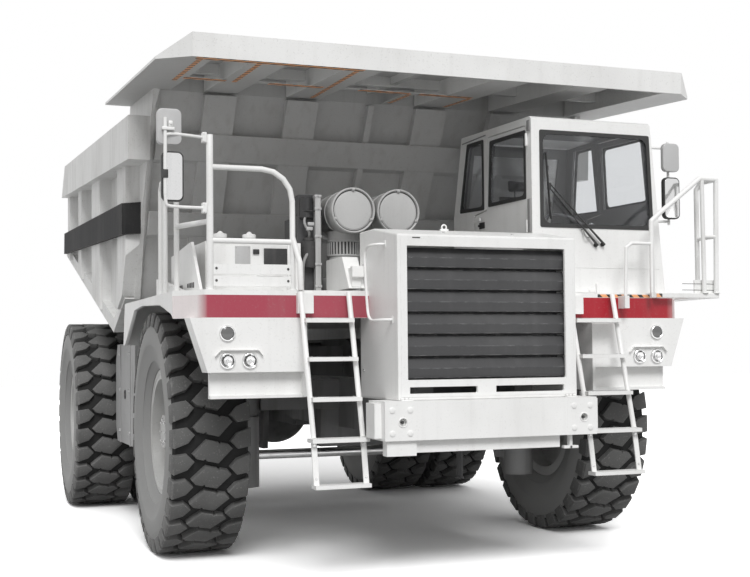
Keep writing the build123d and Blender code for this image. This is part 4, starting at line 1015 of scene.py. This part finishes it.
# %% Cab fittings outside
bm = bmesh.new()
add_box(bm, at(CAB_RIGHT - 0.016, -1.552, 3.685), at(CAB_RIGHT, -1.500, 3.780), 0.004)
add_box(bm, at(CAB_RIGHT - 0.020, -1.556, 2.800), at(CAB_RIGHT, -1.508, 3.090), 0.005)
add_box(bm, at(CAB_RIGHT - 0.012, -0.640, 3.792), at(CAB_RIGHT, -0.110, 3.802), 0.003)
finish("hinge_covers", bm, "chassis", mirror_black)
bm = bmesh.new()
add_box(bm, at(CAB_RIGHT + 0.01, CAB_FRONT - 0.003, 2.492), at(2.070, CAB_FRONT, 2.498), 0.001)
add_box(bm, at(CAB_RIGHT + 0.01, CAB_FRONT - 0.008, 2.275), at(1.420, CAB_FRONT, 2.315), 0.002)
add_box(bm, at(1.405, CAB_FRONT - 0.030, 2.270), at(1.432, CAB_FRONT, 2.355), 0.003)
for x in (0.86, 1.10, 1.34):
    add_bolt(bm, at(x, CAB_FRONT - 0.008, 2.295), (0, -1, 0), 0.007)
finish("cab_base_trim", bm, "chassis", white_paint)
tube("screen_hoop", [at(1.275, CAB_FRONT, 2.832), at(1.275, CAB_FRONT - 0.035, 2.832),
                     at(1.278, CAB_FRONT - 0.040, 2.790), at(1.300, CAB_FRONT - 0.040, 2.755),
                     at(1.345, CAB_FRONT - 0.036, 2.765), at(1.350, CAB_FRONT, 2.765)], 0.006, "chassis",
     mirror_black)
for word, x, out in (("right", CAB_RIGHT + DOOR_INSET, -1), ("left", outer_x(2.95) - DOOR_INSET, 1)):
    bm = bmesh.new()
    near, far = sorted((x, x + out * 0.010))
    add_box(bm, at(near, -0.590, 2.925), at(far, -0.480, 2.985), 0.004)
    add_disc(bm, at(x + out * 0.010, -0.500, 2.955), (out, 0, 0), 0.011, 0.018, sides=16, bevel=0.002)
    finish("door_lock_" + word, bm, "cab_door_" + word, seal_rubber)

# %% [markdown]
# The mirrors' shells in the photograph are rounded, with a pale back above and a dark face below. They are
# made from a box whose upright edges and then rims are bevelled, and a thin mirror plate lies in each rim.

# %% Mirror heads
MIRROR_HEADS = ((-2.385, -1.690, 3.370, 3.650, 0.190, True), (-2.360, -1.690, 2.935, 3.320, 0.170, False),
                (2.200, -1.560, 2.950, 3.330, 0.170, False), (2.200, -1.560, 3.380, 3.640, 0.170, True))
shell_pale = paint("mirror back", (0.50, 0.50, 0.50), (0.30, 0.29, 0.28, 1), stains=0.35, worn=0.1,
                   rough=0.35)


def rounded_slab(bm, centre, wide, deep, high, corner, rim):
    verts = bmesh.ops.create_cube(bm, size=1.0)["verts"]
    bmesh.ops.scale(bm, vec=(wide, deep, high), verts=verts)
    bmesh.ops.translate(bm, vec=centre, verts=verts)
    edges = list({edge for vert in verts for edge in vert.link_edges})
    long_edges = [e for e in edges if abs((e.verts[0].co - e.verts[1].co).y) > deep * 0.5]
    bmesh.ops.bevel(bm, geom=long_edges, offset=corner, segments=6, profile=0.5, affect="EDGES", material=-1)
    edges = {e for v in bm.verts if v.is_valid for e in v.link_edges
             if abs(e.verts[0].co.y - e.verts[1].co.y) < 1e-5 and (e.verts[0].co - centre).length < high
             and len({round(f.normal.y) for f in e.link_faces}) > 1}
    bmesh.ops.bevel(bm, geom=list(edges), offset=rim, segments=3, profile=0.5, affect="EDGES", material=-1,
                    clamp_overlap=True)


pale, dark, glass_faces = bmesh.new(), bmesh.new(), bmesh.new()
for x, y, z0, z1, wide, is_pale in MIRROR_HEADS:
    middle = at(x, y, (z0 + z1) / 2)
    rounded_slab(pale if is_pale else dark, middle, wide, 0.050, z1 - z0, 0.045, 0.010)
    rounded_slab(glass_faces, middle + Vector((0, 0.0245, 0)), wide - 0.024, 0.003, z1 - z0 - 0.024, 0.036,
                 0.0008)
    if not is_pale:
        rounded_slab(glass_faces, middle - Vector((0, 0.0245, 0)), wide - 0.024, 0.003, z1 - z0 - 0.024,
                     0.036, 0.0008)
finish("mirror_backs", pale, "chassis", shell_pale)
finish("mirror_shells", dark, "chassis", seal_rubber)
finish("mirror_faces", glass_faces, "chassis", lamp_chrome)
arms = bmesh.new()
ARM_R = 0.014
RIGHT_POST = at(-2.058, -1.640, 0)
add_disc(arms, at(-2.420, -1.730, 2.985), (0, 0, 1), ARM_R, 3.575 - 2.985, sides=16)
for z in (3.450, 2.900):
    add_box(arms, RIGHT_POST + Vector((-0.062, -0.030, z - 0.040)), RIGHT_POST + Vector((-0.0275, 0.030,
                                                                                         z + 0.040)), 0.003)
    for k in (-0.028, 0.028):
        add_bolt(arms, RIGHT_POST + Vector((-0.050, -0.030, z + k)), (0, -1, 0), 0.006)
add_box(arms, at(-2.446, -1.752, 3.478), at(-2.352, -1.716, 3.502), 0.003)
add_box(arms, at(-2.395, -1.745, 3.505), at(-2.365, -1.715, 3.550), 0.003)
add_disc(arms, at(-2.380, -1.745, 3.530), (0, -1, 0), 0.010, 0.012, sides=16)
add_disc(arms, at(2.200, -1.525, 2.900), (0, 0, 1), 0.012, 0.760, sides=16)
finish("mirror_posts", arms, "chassis", white_paint)
tube("mirror_arm_high", [at(-2.420, -1.730, 3.440), at(-2.400, -1.728, 3.452), at(-2.300, -1.710, 3.455),
                         at(-2.110, -1.650, 3.450)], 0.012, "chassis", white_paint)
tube("mirror_arm_low", [at(-2.420, -1.730, 3.000), at(-2.420, -1.730, 2.915), at(-2.395, -1.725, 2.895),
                        at(-2.250, -1.690, 2.895), at(-2.110, -1.650, 2.900)], 0.013, "chassis", white_paint)
bm = bmesh.new()
for z in (2.930, 3.600):
    add_disc(bm, at(2.200, -1.525, z), (-1, 0, 0), 0.012, 2.200 - outer_x(z - 0.012) - 0.0004, sides=16)
left_arms = finish("mirror_arms_left", bm, "chassis", white_paint)
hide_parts("mirrors_left")
bm = bmesh.new()
add_box(bm, at(-2.440, -1.750, 3.110), at(-2.400, -1.715, 3.175), 0.004)
grip = finish("mirror_clamp", bm, "chassis", seal_rubber)
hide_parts("mirrors_right")

# %% [markdown]
# The air cleaners lie side by side behind the housing. Their round covers face forwards, each held by three
# wing clips in a rolled rim, and a slotted rain cap shows on the neck below.

# %% Air cleaners
CANS = ((-0.690, -1.080), (-0.275, -1.080))
CAN_Z, CAN_R, CAN_LONG = 2.990, 0.190, 0.620
COVER = ((-0.010, 0.0), (-0.014, 0.090), (-0.012, 0.160), (-0.006, 0.169), (-0.003, 0.179), (-0.024, 0.183),
         (-0.028, 0.190), (-0.022, 0.197), (0.022, 0.198), (0.030, 0.192), (0.036, CAN_R),
         (CAN_LONG - 0.040, CAN_R), (CAN_LONG - 0.008, CAN_R - 0.020), (CAN_LONG, 0.140), (CAN_LONG, 0.0))
SLATS = 30
NECK_R, NECK_BACK = 0.140, 0.260
CLIP_ANGLES = (90, 205, 335)
bm, dark = bmesh.new(), bmesh.new()
for x, y in CANS:
    spin_profile(bm, COVER, at(x, y, CAN_Z), (0, 1, 0), (0, 0, 1), 56)
    for angle in CLIP_ANGLES:
        lean = math.radians(angle)
        spoke = Vector((math.cos(lean), 0, math.sin(lean)))
        spot = at(x, y - 0.020, CAN_Z) + spoke * 0.180
        add_box(bm, spot - Vector((0.011, 0.010, 0.011)), spot + Vector((0.011, 0.012, 0.011)), 0.003)
        add_disc(bm, spot + Vector((0, -0.008, 0)), (0, -1, 0), 0.006, 0.012, sides=12)
    for shift in (0.20, 0.44):
        add_ring(bm, at(x, y + shift, CAN_Z), (0, 1, 0), CAN_R, 0.005, 56, 6)
    add_disc(bm, at(x, y + NECK_BACK, 2.400), (0, 0, 1), NECK_R, 0.430, sides=48)
    for z in (2.740, 2.615):
        add_ring(bm, at(x, y + NECK_BACK, z), (0, 0, 1), NECK_R + 0.002, 0.009, 48, 6)
    for k in range(SLATS):
        turn = math.tau * k / SLATS
        spot = at(x, y + NECK_BACK, 2.678) + Vector((math.cos(turn), math.sin(turn), 0)) * 0.1435
        half = Vector((0.003, 0.0075, 0.058))
        add_box(bm, spot - half, spot + half, 0.001, Matrix.Rotation(turn, 3, "Z"))
    add_disc(dark, at(x, y + NECK_BACK, 2.622), (0, 0, 1), 0.1408, 0.112, sides=48)
    add_ring(dark, at(x, y - 0.0045, CAN_Z), (0, 1, 0), 0.1745, 0.0035, 56, 6)
add_box(bm, at(-0.860, -0.900, 2.2653), at(-0.100, -0.500, 2.420), 0.006)
cleaner_paint = paint("air cleaner paint", (0.52, 0.52, 0.515), (0.30, 0.295, 0.29, 1), stains=0.3,
                      streaks=0.1, worn=0.3, bare=(0.7, 0.7, 0.69, 1), rough=0.42)
cleaners = finish("air_cleaner_cans", bm, "chassis", cleaner_paint, 0.0001)
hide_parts("air_cleaners")
finish("air_cleaner_shadow_gaps", dark, "chassis", dark_paint)

# %% [markdown]
# The deck carries bolted things: toe boards with screws, a box with two caps and vents, and pipe flanges.

# %% Deck fittings
bm = bmesh.new()
for x in (-2.010, -1.432):
    for z in (2.338, 2.433):
        add_bolt(bm, at(x, -1.650, z), (0, -1, 0), 0.007)
finish("toe_board_screws", bm, "chassis", dark_paint)
bm = bmesh.new()
for x in (-1.810, -1.560):
    spin_profile(bm, ((0.0, 0.0), (0.0, 0.056), (0.026, 0.058), (0.032, 0.052), (0.034, 0.030),
                      (0.050, 0.016), (0.058, 0.0)), at(x, -0.900, 2.745), (0, 0, 1), (1, 0, 0), 28)
add_box(bm, at(-1.985, -1.156, 2.330), at(-1.600, -1.150, 2.660), 0.002)
for k in range(3):
    add_box(bm, at(-1.560, -1.158, 2.330 + k * 0.040), at(-1.330, -1.150, 2.342 + k * 0.040), 0.002)
add_box(bm, at(-1.300, -1.170, 2.290), at(-1.255, -1.150, 2.680), 0.004)
finish("box_caps", bm, "chassis", white_paint, 0.0001)
bm = bmesh.new()
SLOPED_X = -2.110
for k in range(5):
    add_box(bm, at(SLOPED_X - 0.004, -1.280 + k * 0.06, 2.300 + k * 0.003),
            at(SLOPED_X - 0.0003, -1.250 + k * 0.06, 2.345), 0.001)
    add_box(bm, at(SLOPED_X - 0.004, -0.800 + k * 0.06, 2.300), at(SLOPED_X - 0.0003, -0.770 + k * 0.06,
                                                                   2.345), 0.001)
finish("box_vents", bm, "chassis", dark_paint)
FLANGES = ((-2.058, -1.640), (-1.392, -1.640), (-2.226, -1.150), (-2.226, -0.640), (-2.226, -0.430),
           (2.412, -1.750), (2.538, -1.752), (2.538, -1.470))
bm = bmesh.new()
for x, y in FLANGES:
    add_disc(bm, at(x, y, 2.2685 if x > 0 else 2.2655), (0, 0, 1), 0.036, 0.006, sides=24, bevel=0.001)
finish("rail_flanges", bm, "chassis", white_paint)

# %% [markdown]
# Orange and black tape marks the low edges under the canopy. It runs along the front lip and the ribs'
# undersides, and on flat bars that close the bays between the ribs. Each strip is a thin plate a hair below
# its carrier, and the strips along the ribs are narrower.

# %% Warning tape under the canopy
CANOPY_FRONT, CANOPY_LOW, CANOPY_TILT = -1.740, 4.060, math.atan(0.07)
TAPE_HALF, TAPE_T, TAPE_GAP = 0.045, 0.0015, 0.0006
RIB_TAPE_HALF = 0.020
BAR_HALF, BAR_T, BAR_DROP = 0.050, 0.006, 0.0002
CROSS = 1.075
LIP = 0.052
STRIPS = (((-2.170, LIP), (-0.790, LIP)), ((-2.128, 0.100), (-2.120, 1.250)),
          ((-1.650, 0.100), (-1.620, 1.122)), ((-0.832, 0.100), (-0.720, 1.750)),
          ((0.635, 1.122), (0.648, 1.750)), ((0.030, 1.122), (0.060, 1.750)),
          ((-2.070, CROSS), (-1.700, CROSS)), ((-1.320, CROSS), (-0.820, CROSS)),
          ((-0.478, CROSS), (0.010, CROSS)), ((0.105, CROSS), (0.630, CROSS)))
BARS = (((-2.200, LIP), (-0.640, LIP)), ((-2.040, CROSS), (-1.728, CROSS)),
        ((-1.432, CROSS), (-0.943, CROSS)), ((-0.637, CROSS), (0.367, CROSS)),
        ((0.029, CROSS + BAR_HALF), (0.065, 1.840)))


def under(x, back, level):
    """A point below the canopy: level 0 is the ribs' face, measured square to the slope."""
    return at(x, CANOPY_FRONT + back * math.cos(CANOPY_TILT) - level * math.sin(CANOPY_TILT),
              CANOPY_LOW + back * math.sin(CANOPY_TILT) + level * math.cos(CANOPY_TILT))


def strip_below(bm, ends, half, level, thick):
    """A flat strip between two (x, distance back) points, standing down from its level."""
    a, b = Vector(ends[0]), Vector(ends[1])
    side = Vector((b.y - a.y, a.x - b.x)).normalized() * half
    corners = [under(*(p + s), level) for p, s in ((a, side), (b, side), (b, -side), (a, -side))]
    add_plate(bm, corners, thick, under(0, 0, -1) - under(0, 0, 0))


bm = bmesh.new()
for ends in STRIPS:
    half = TAPE_HALF if ends[0][1] == ends[1][1] else RIB_TAPE_HALF
    strip_below(bm, ends, half, -TAPE_GAP, TAPE_T)
finish("canopy_tape", bm, "dump_body", warning_tape, flat=True)
bm = bmesh.new()
for ends in BARS:
    strip_below(bm, ends, BAR_HALF, BAR_T - BAR_DROP, BAR_T)
finish("canopy_bars", bm, "dump_body", canopy_paint, flat=True)
print(len(STRIPS), "strips of tape on", len(BARS), "bars and the ribs")

# %% [markdown]
# Behind the windscreen lie a moulded dash with two slots and a round vent, and the steering wheel on its
# column. The dash is one outline pushed across the cab and softened, because a moulding has no sharp edge.

# %% Dash and steering wheel
DASH = ((-1.503, 2.310), (-1.285, 2.310), (-1.190, 2.600), (-1.184, 2.720), (-1.215, 2.785), (-1.330, 2.832),
        (-1.503, 2.846))
DASH_X0, DASH_X1 = 0.864, 1.985
WHEEL_AT, WHEEL_UP = at(1.420, -1.000, 2.895), Vector((0, 1, 1)).normalized()
WHEEL_AXIS = Vector((0, -1, 1)).normalized()
WHEEL_R = 0.213
HOOD_DROP = 0.030
bm = bmesh.new()
add_plate(bm, [at(DASH_X0, y, z) for y, z in DASH], DASH_X1 - DASH_X0, (1, 0, 0))
soften(bm, bm.verts[:], 0.016, 3)
verts_before = set(bm.verts)
add_box(bm, at(1.230, -1.400, 2.760), at(1.610, -1.245, 2.885))
hood = [vert for vert in bm.verts if vert not in verts_before]
for vert in hood:
    if vert.co.z > 2.8 and vert.co.y > at(0, -1.3, 0).y:
        vert.co.z -= HOOD_DROP
soften(bm, hood, 0.022, 3)
dash = finish("dash", bm, "chassis", dash_plastic)
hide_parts("cab_fittings")
bm = bmesh.new()
for x0, x1 in ((1.300, 1.440), (1.560, 1.700)):
    for k in range(4):
        add_box(bm, at(x0, -1.478 + k * 0.012, 2.8435), at(x1, -1.472 + k * 0.012, 2.8495), 0.001)
add_ring(bm, at(1.050, -1.430, 2.842), (0, 0, 1), 0.040, 0.007, 32)
for k in range(3):
    add_box(bm, at(1.015, -1.452 + k * 0.020, 2.8405), at(1.085, -1.446 + k * 0.020, 2.8465), 0.001)
for x in (1.330, 1.420, 1.510):
    add_ring(bm, at(x, -1.250, 2.812), (0, 1, 0.2), 0.032, 0.003, 28, 6)
add_disc(bm, at(1.420, -1.250, 2.650), WHEEL_AXIS, 0.042, 0.335, top=0.026, sides=24)
add_ring(bm, WHEEL_AT, WHEEL_AXIS, WHEEL_R, 0.014, 64, 12)
spin_profile(bm, ((-0.030, 0.026), (-0.022, 0.052), (0.004, 0.056), (0.014, 0.046), (0.018, 0.0)), WHEEL_AT,
             WHEEL_AXIS, (1, 0, 0), 28)
for spoke in (Vector((1, 0, 0)), Vector((-1, 0, 0)), -WHEEL_UP):
    add_disc(bm, WHEEL_AT - WHEEL_AXIS * 0.006 + spoke * 0.045, spoke, 0.015, WHEEL_R - 0.048, top=0.010,
             sides=12)
finish("steering_wheel", bm, "chassis", cab_plastic, 0.0001)

# %% [markdown]
# The chair's cushions are foam under woven cloth. Each starts as a rounded box, a little smaller than its
# place, is remeshed to even squares and blown up as cloth, and then its sewn channels are pressed in.
# Simulated cloth gives the pulled-in sides that a bevelled box lacks. Every cushion is drawn flat, with Z
# towards the person.

# %% Operator's chair
PAD_VOXEL, PAD_SWELL, PAD_FRAMES, PAD_PRESSURE = 0.010, 0.010, 20, 4.0
SEAM_HALF, SEAM_DEEP = 0.010, 0.009


def woven(name, colour, threads=620.0):
    """Cloth: crossed threads raise it, and broad noise makes its colour uneven."""
    material = bpy.data.materials.new(name)
    material.use_nodes = True
    tree = material.node_tree
    shader = tree.nodes["Principled BSDF"]
    shader.inputs["Sheen Weight"].default_value = 0.25
    shader.inputs["Roughness"].default_value = 0.9
    where = tree.nodes.new("ShaderNodeTexCoord").outputs["Object"]
    uneven = spread(tree, noise_at(tree, where, 9.0, 5.0), 0.35, 0.7)
    pale = tuple(min(1.0, c * 1.7) for c in colour)
    tree.links.new(mix(tree, uneven, (*colour, 1), (*pale, 1)), shader.inputs["Base Color"])
    waves = [math_node(tree, "SINE", math_node(tree, "MULTIPLY", axis_of(tree, axis), threads), 0.0)
             for axis in ("X", "Z")]
    relief = tree.nodes.new("ShaderNodeBump")
    relief.inputs["Strength"].default_value = 0.5
    relief.inputs["Distance"].default_value = 0.001
    tree.links.new(math_node(tree, "MULTIPLY", *waves), relief.inputs["Height"])
    tree.links.new(relief.outputs["Normal"], shader.inputs["Normal"])
    return material


def swell(holder):
    """Blow the mesh up as cloth and keep the result, with each point's move capped."""
    start = [vert.co.copy() for vert in holder.data.vertices]
    cloth = holder.modifiers.new("cloth", "CLOTH")
    cloth.settings.use_pressure = True
    cloth.settings.uniform_pressure_force = PAD_PRESSURE
    cloth.settings.effector_weights.gravity = 0.0
    cloth.point_cache.frame_start = 1
    cloth.point_cache.frame_end = PAD_FRAMES
    for step in range(1, PAD_FRAMES + 1):
        bpy.context.scene.frame_set(step)
    blown = holder.evaluated_get(bpy.context.evaluated_depsgraph_get())
    ends = [vert.co.copy() for vert in blown.data.vertices]
    holder.modifiers.remove(cloth)
    bpy.context.scene.frame_set(1)
    for vert, old, new in zip(holder.data.vertices, start, ends):
        shift = new - old
        vert.co = old + shift * min(1.0, PAD_SWELL / max(shift.length, 1e-6))


def cushion(name, middle, size, lean, seams, fabric):
    bm = bmesh.new()
    half = Vector(size) / 2
    add_box(bm, -half, half, min(half) * 0.7)
    mesh = bpy.data.meshes.new(name)
    bm.to_mesh(mesh)
    bm.free()
    piece = bpy.data.objects.new(name, mesh)
    bpy.context.scene.collection.objects.link(piece)
    remesh = piece.modifiers.new("remesh", "REMESH")
    remesh.mode = "VOXEL"
    remesh.voxel_size = PAD_VOXEL
    even = bpy.data.meshes.new_from_object(piece.evaluated_get(bpy.context.evaluated_depsgraph_get()))
    piece.modifiers.clear()
    piece.data = even
    bpy.data.meshes.remove(mesh)
    swell(piece)
    for vert in even.vertices:
        press = sum(math.exp(-((vert.co.y - seam) / SEAM_HALF) ** 2) for seam in seams)
        vert.co.z -= SEAM_DEEP * press * max(0.0, min(1.0, vert.co.z / (half.z * 0.6)))
    even.transform(Matrix.Translation(middle) @ Matrix.Rotation(lean, 4, "X"))
    even.shade_smooth()
    even.materials.clear()
    even.materials.append(fabric)
    smooth = piece.modifiers.new("smooth", "SUBSURF")
    smooth.levels = smooth.render_levels = 1
    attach(piece, "chassis")
    print(name, len(even.polygons), "faces before smoothing")


chair_cloth = woven("chair cloth", (0.075, 0.075, 0.080))
BACK_LEAN = math.radians(80.3)
cushion("seat_cushion", at(1.420, -0.525, 2.618), (0.470, 0.400, 0.100), 0.0, (-0.07, 0.07), chair_cloth)
cushion("back_cushion", at(1.420, -0.1925, 2.960), (0.430, 0.660, 0.072), BACK_LEAN, (-0.17, 0.0, 0.17),
        chair_cloth)
cushion("head_cushion", at(1.420, -0.125, 3.405), (0.290, 0.120, 0.050), BACK_LEAN, (), chair_cloth)
bm = bmesh.new()
add_box(bm, at(1.230, -0.640, 2.307), at(1.610, -0.270, 2.325), 0.006)
for k in range(6):
    draw_in = 0.014 * (k % 2)
    add_box(bm, at(1.255 + draw_in, -0.620 + draw_in, 2.325 + k * 0.034),
            at(1.585 - draw_in, -0.290 - draw_in, 2.359 + k * 0.034), 0.008)
add_box(bm, at(1.180, -0.735, 2.529), at(1.660, -0.230, 2.556), 0.008)
shell_turn = Matrix.Rotation(BACK_LEAN, 3, "X")
shell_at = at(1.420, -0.1375, 2.960)
add_box(bm, shell_at - Vector((0.225, 0.345, 0.006)), shell_at + Vector((0.225, 0.345, 0.006)), 0.005,
        shell_turn)
for x in (1.350, 1.490):
    add_disc(bm, at(x, -0.118, 3.250), (0, 0.02, 1), 0.007, 0.120, sides=12)
finish("chair_frame", bm, "chassis", cab_plastic)

# %% [markdown]
# Between the handrail and the air cleaners stand the machine's filters and valves. From the front a pale
# post, a black canister and a few rigid pipes show, so these are modelled on the faces of the CAD's plain
# blocks.

# %% Valves and pipes beside the air cleaners
bm = bmesh.new()
add_disc(bm, at(-1.035, -0.905, 2.500), (0, 0, 1), 0.062, 0.230, sides=32, bevel=0.006)
add_disc(bm, at(-1.035, -0.905, 2.730), (0, 0, 1), 0.045, 0.030, sides=24, bevel=0.004)
add_disc(bm, at(-1.050, -0.890, 2.930), (0, 0, 1), 0.058, 0.180, sides=32, bevel=0.006)
for z in (2.560, 2.680, 2.990):
    add_ring(bm, at(-1.035, -0.900, z), (0, 0, 1), 0.062, 0.004, 32, 6)
finish("filter_canisters", bm, "chassis", dark_paint)
tube("valve_pipe_high", [at(-1.035, -0.905, 2.755), at(-1.035, -0.960, 2.800), at(-1.090, -0.975, 2.860),
                         at(-1.085, -0.940, 2.930), at(-1.050, -0.900, 2.945)], 0.011, "chassis", grey_paint)
tube("valve_pipe_low", [at(-1.085, -0.890, 2.300), at(-1.100, -0.950, 2.380), at(-1.105, -0.960, 2.520),
                        at(-1.080, -0.960, 2.600), at(-1.040, -0.940, 2.640)], 0.013, "chassis", grey_paint)
bm = bmesh.new()
for z in (2.330, 2.520, 2.760, 3.000, 3.110):
    add_box(bm, at(-0.996, -0.966, z), at(-0.934, -0.956, z + 0.022), 0.002)
    add_bolt(bm, at(-0.965, -0.966, z + 0.011), (0, -1, 0), 0.006)
for k in range(2):
    add_box(bm, at(-1.075 + 0.012 * k, -0.985, 2.820 + 0.04 * k), at(-1.020 + 0.012 * k, -0.955,
                                                                     2.850 + 0.04 * k), 0.004)
finish("post_clamps", bm, "chassis", shell_pale)

# %% [markdown]
# Small parts finish the front and the sides: tape on the platform's edge, lines on its kick plate, brackets
# and a pipe under the bumper, the deck box's plate and latch, tank caps and strap bolts, and the tail lamps'
# lenses.

# %% Small parts outside
bm = bmesh.new()
add_box(bm, at(1.350, -1.6915, 2.228), at(1.885, -1.6903, 2.254))
add_box(bm, at(1.902, -1.7665, 2.230), at(1.960, -1.7653, 2.262))
finish("platform_tape", bm, "chassis", warning_tape, flat=True)
bm = bmesh.new()
for z in (2.296, 2.352):
    add_box(bm, at(2.200, -1.7192, z), at(2.545, -1.7182, z + 0.005))
add_box(bm, at(-0.645, -2.3462, 2.638), at(-0.580, -2.3442, 2.647), 0.0008)
add_box(bm, at(-1.500, -1.162, 2.465), at(-1.300, -1.151, 2.640), 0.004)
add_box(bm, at(-1.592, -1.166, 2.590), at(-1.540, -1.151, 2.630), 0.004)
finish("dark_trim", bm, "chassis", dark_paint)
bm = bmesh.new()
add_box(bm, at(-1.745, -1.160, 2.480), at(-1.615, -1.156, 2.655), 0.002)
for x in (-1.733, -1.627):
    for z in (2.492, 2.643):
        add_bolt(bm, at(x, -1.160, z), (0, -1, 0), 0.005)
finish("bare_plate", bm, "chassis", shell_pale)
bm = bmesh.new()
add_box(bm, at(-0.872, -2.350, 0.990), at(-0.640, -2.335, 1.0965), 0.004)
add_box(bm, at(-0.872, -2.350, 0.990), at(-0.640, -2.255, 1.004), 0.004)
add_box(bm, at(0.690, -2.350, 0.985), at(0.716, -2.300, 1.0965), 0.004)
add_box(bm, at(0.640, -2.350, 0.985), at(0.770, -2.300, 1.008), 0.004)
finish("bumper_brackets", bm, "chassis", white_paint)
bm = bmesh.new()
spin_profile(bm, ((0.0, 0.0), (0.0, 0.034), (0.016, 0.034), (0.018, 0.026), (0.537, 0.026), (0.537, 0.0)),
             at(0.030, -1.660, 0.714), (0, 0, 1), (1, 0, 0), 28)
finish("drain_pipe", bm, "chassis", dark_paint)
bm = bmesh.new()
bolts = bmesh.new()
for side in (-1, 1):
    spin_profile(bm, ((0.0, 0.0), (0.0, 0.070), (0.034, 0.072), (0.044, 0.062), (0.046, 0.0)),
                 at(side * 1.900, 2.100, 1.900), (0, 0, 1), (1, 0, 0), 32)
    add_box(bm, at(side * 1.900 - 0.012, 2.040, 1.940), at(side * 1.900 + 0.012, 2.160, 1.960), 0.004)
    add_ring(bm, at(side * 2.153, 2.140, 1.350), (1, 0, 0), 0.045, 0.006, 28, 6)
    for y in (1.800, 2.480):
        for z in (0.960, 1.400, 1.780):
            add_bolt(bolts, at(side * 2.156, y, z), (side, 0, 0), 0.014)
finish("tank_caps", bm, "chassis", dark_paint, 0.0001)
finish("tank_strap_bolts", bolts, "chassis", bright_steel)
bezels, lenses = bmesh.new(), bmesh.new()
for side in (-1, 1):
    for z in (1.590, 1.650):
        middle = at(side * 0.440, 5.580, z)
        add_ring(bezels, middle + Vector((0, 0.002, 0)), (0, 1, 0), 0.025, 0.004, 32, 8)
        spin_profile(lenses, ((0.0, 0.025), (0.006, 0.022), (0.011, 0.012), (0.012, 0.0)), middle, (0, 1, 0),
                     (1, 0, 0), 28)
finish("tail_bezels", bezels, "chassis", lamp_chrome)
finish("tail_lenses", lenses, "chassis", tail_red, 0.0001)
for word, (x0, x1) in (("right", (-1.355, -0.955)), ("left", (1.040, 1.470))):
    bm = bmesh.new()
    for z in (1.390, 1.700, 2.005):
        y = -2.050 + (z - 1.110) * 0.278
        for x in (x0, x1):
            inner = 1 if x == x0 else -1
            for shift in (-0.030, 0.030):
                add_bolt(bm, at(x + inner * 0.035, y + shift, z + 0.032), (0, 0, 1), 0.006)
        for k in range(5):
            add_box(bm, at(x0 + 0.060, y - 0.055 + k * 0.026, z + 0.0315),
                    at(x1 - 0.060, y - 0.049 + k * 0.026, z + 0.034), 0.0008)
    for z in (0.810, 1.060):
        for x in (x0, x1):
            add_bolt(bm, at(x, -2.056 - (1.110 - z) * 0.20 - 0.001, z), (0, -1, 0), 0.008)
    finish("ladder_treads_" + word, bm, "chassis", bright_steel)

# %% Print the sizes
size = {"cad": [list(corner) for corner in cad_box], "visual": [list(corner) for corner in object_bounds()]}
print("CAD box", size["cad"])
print("visual box", size["visual"])
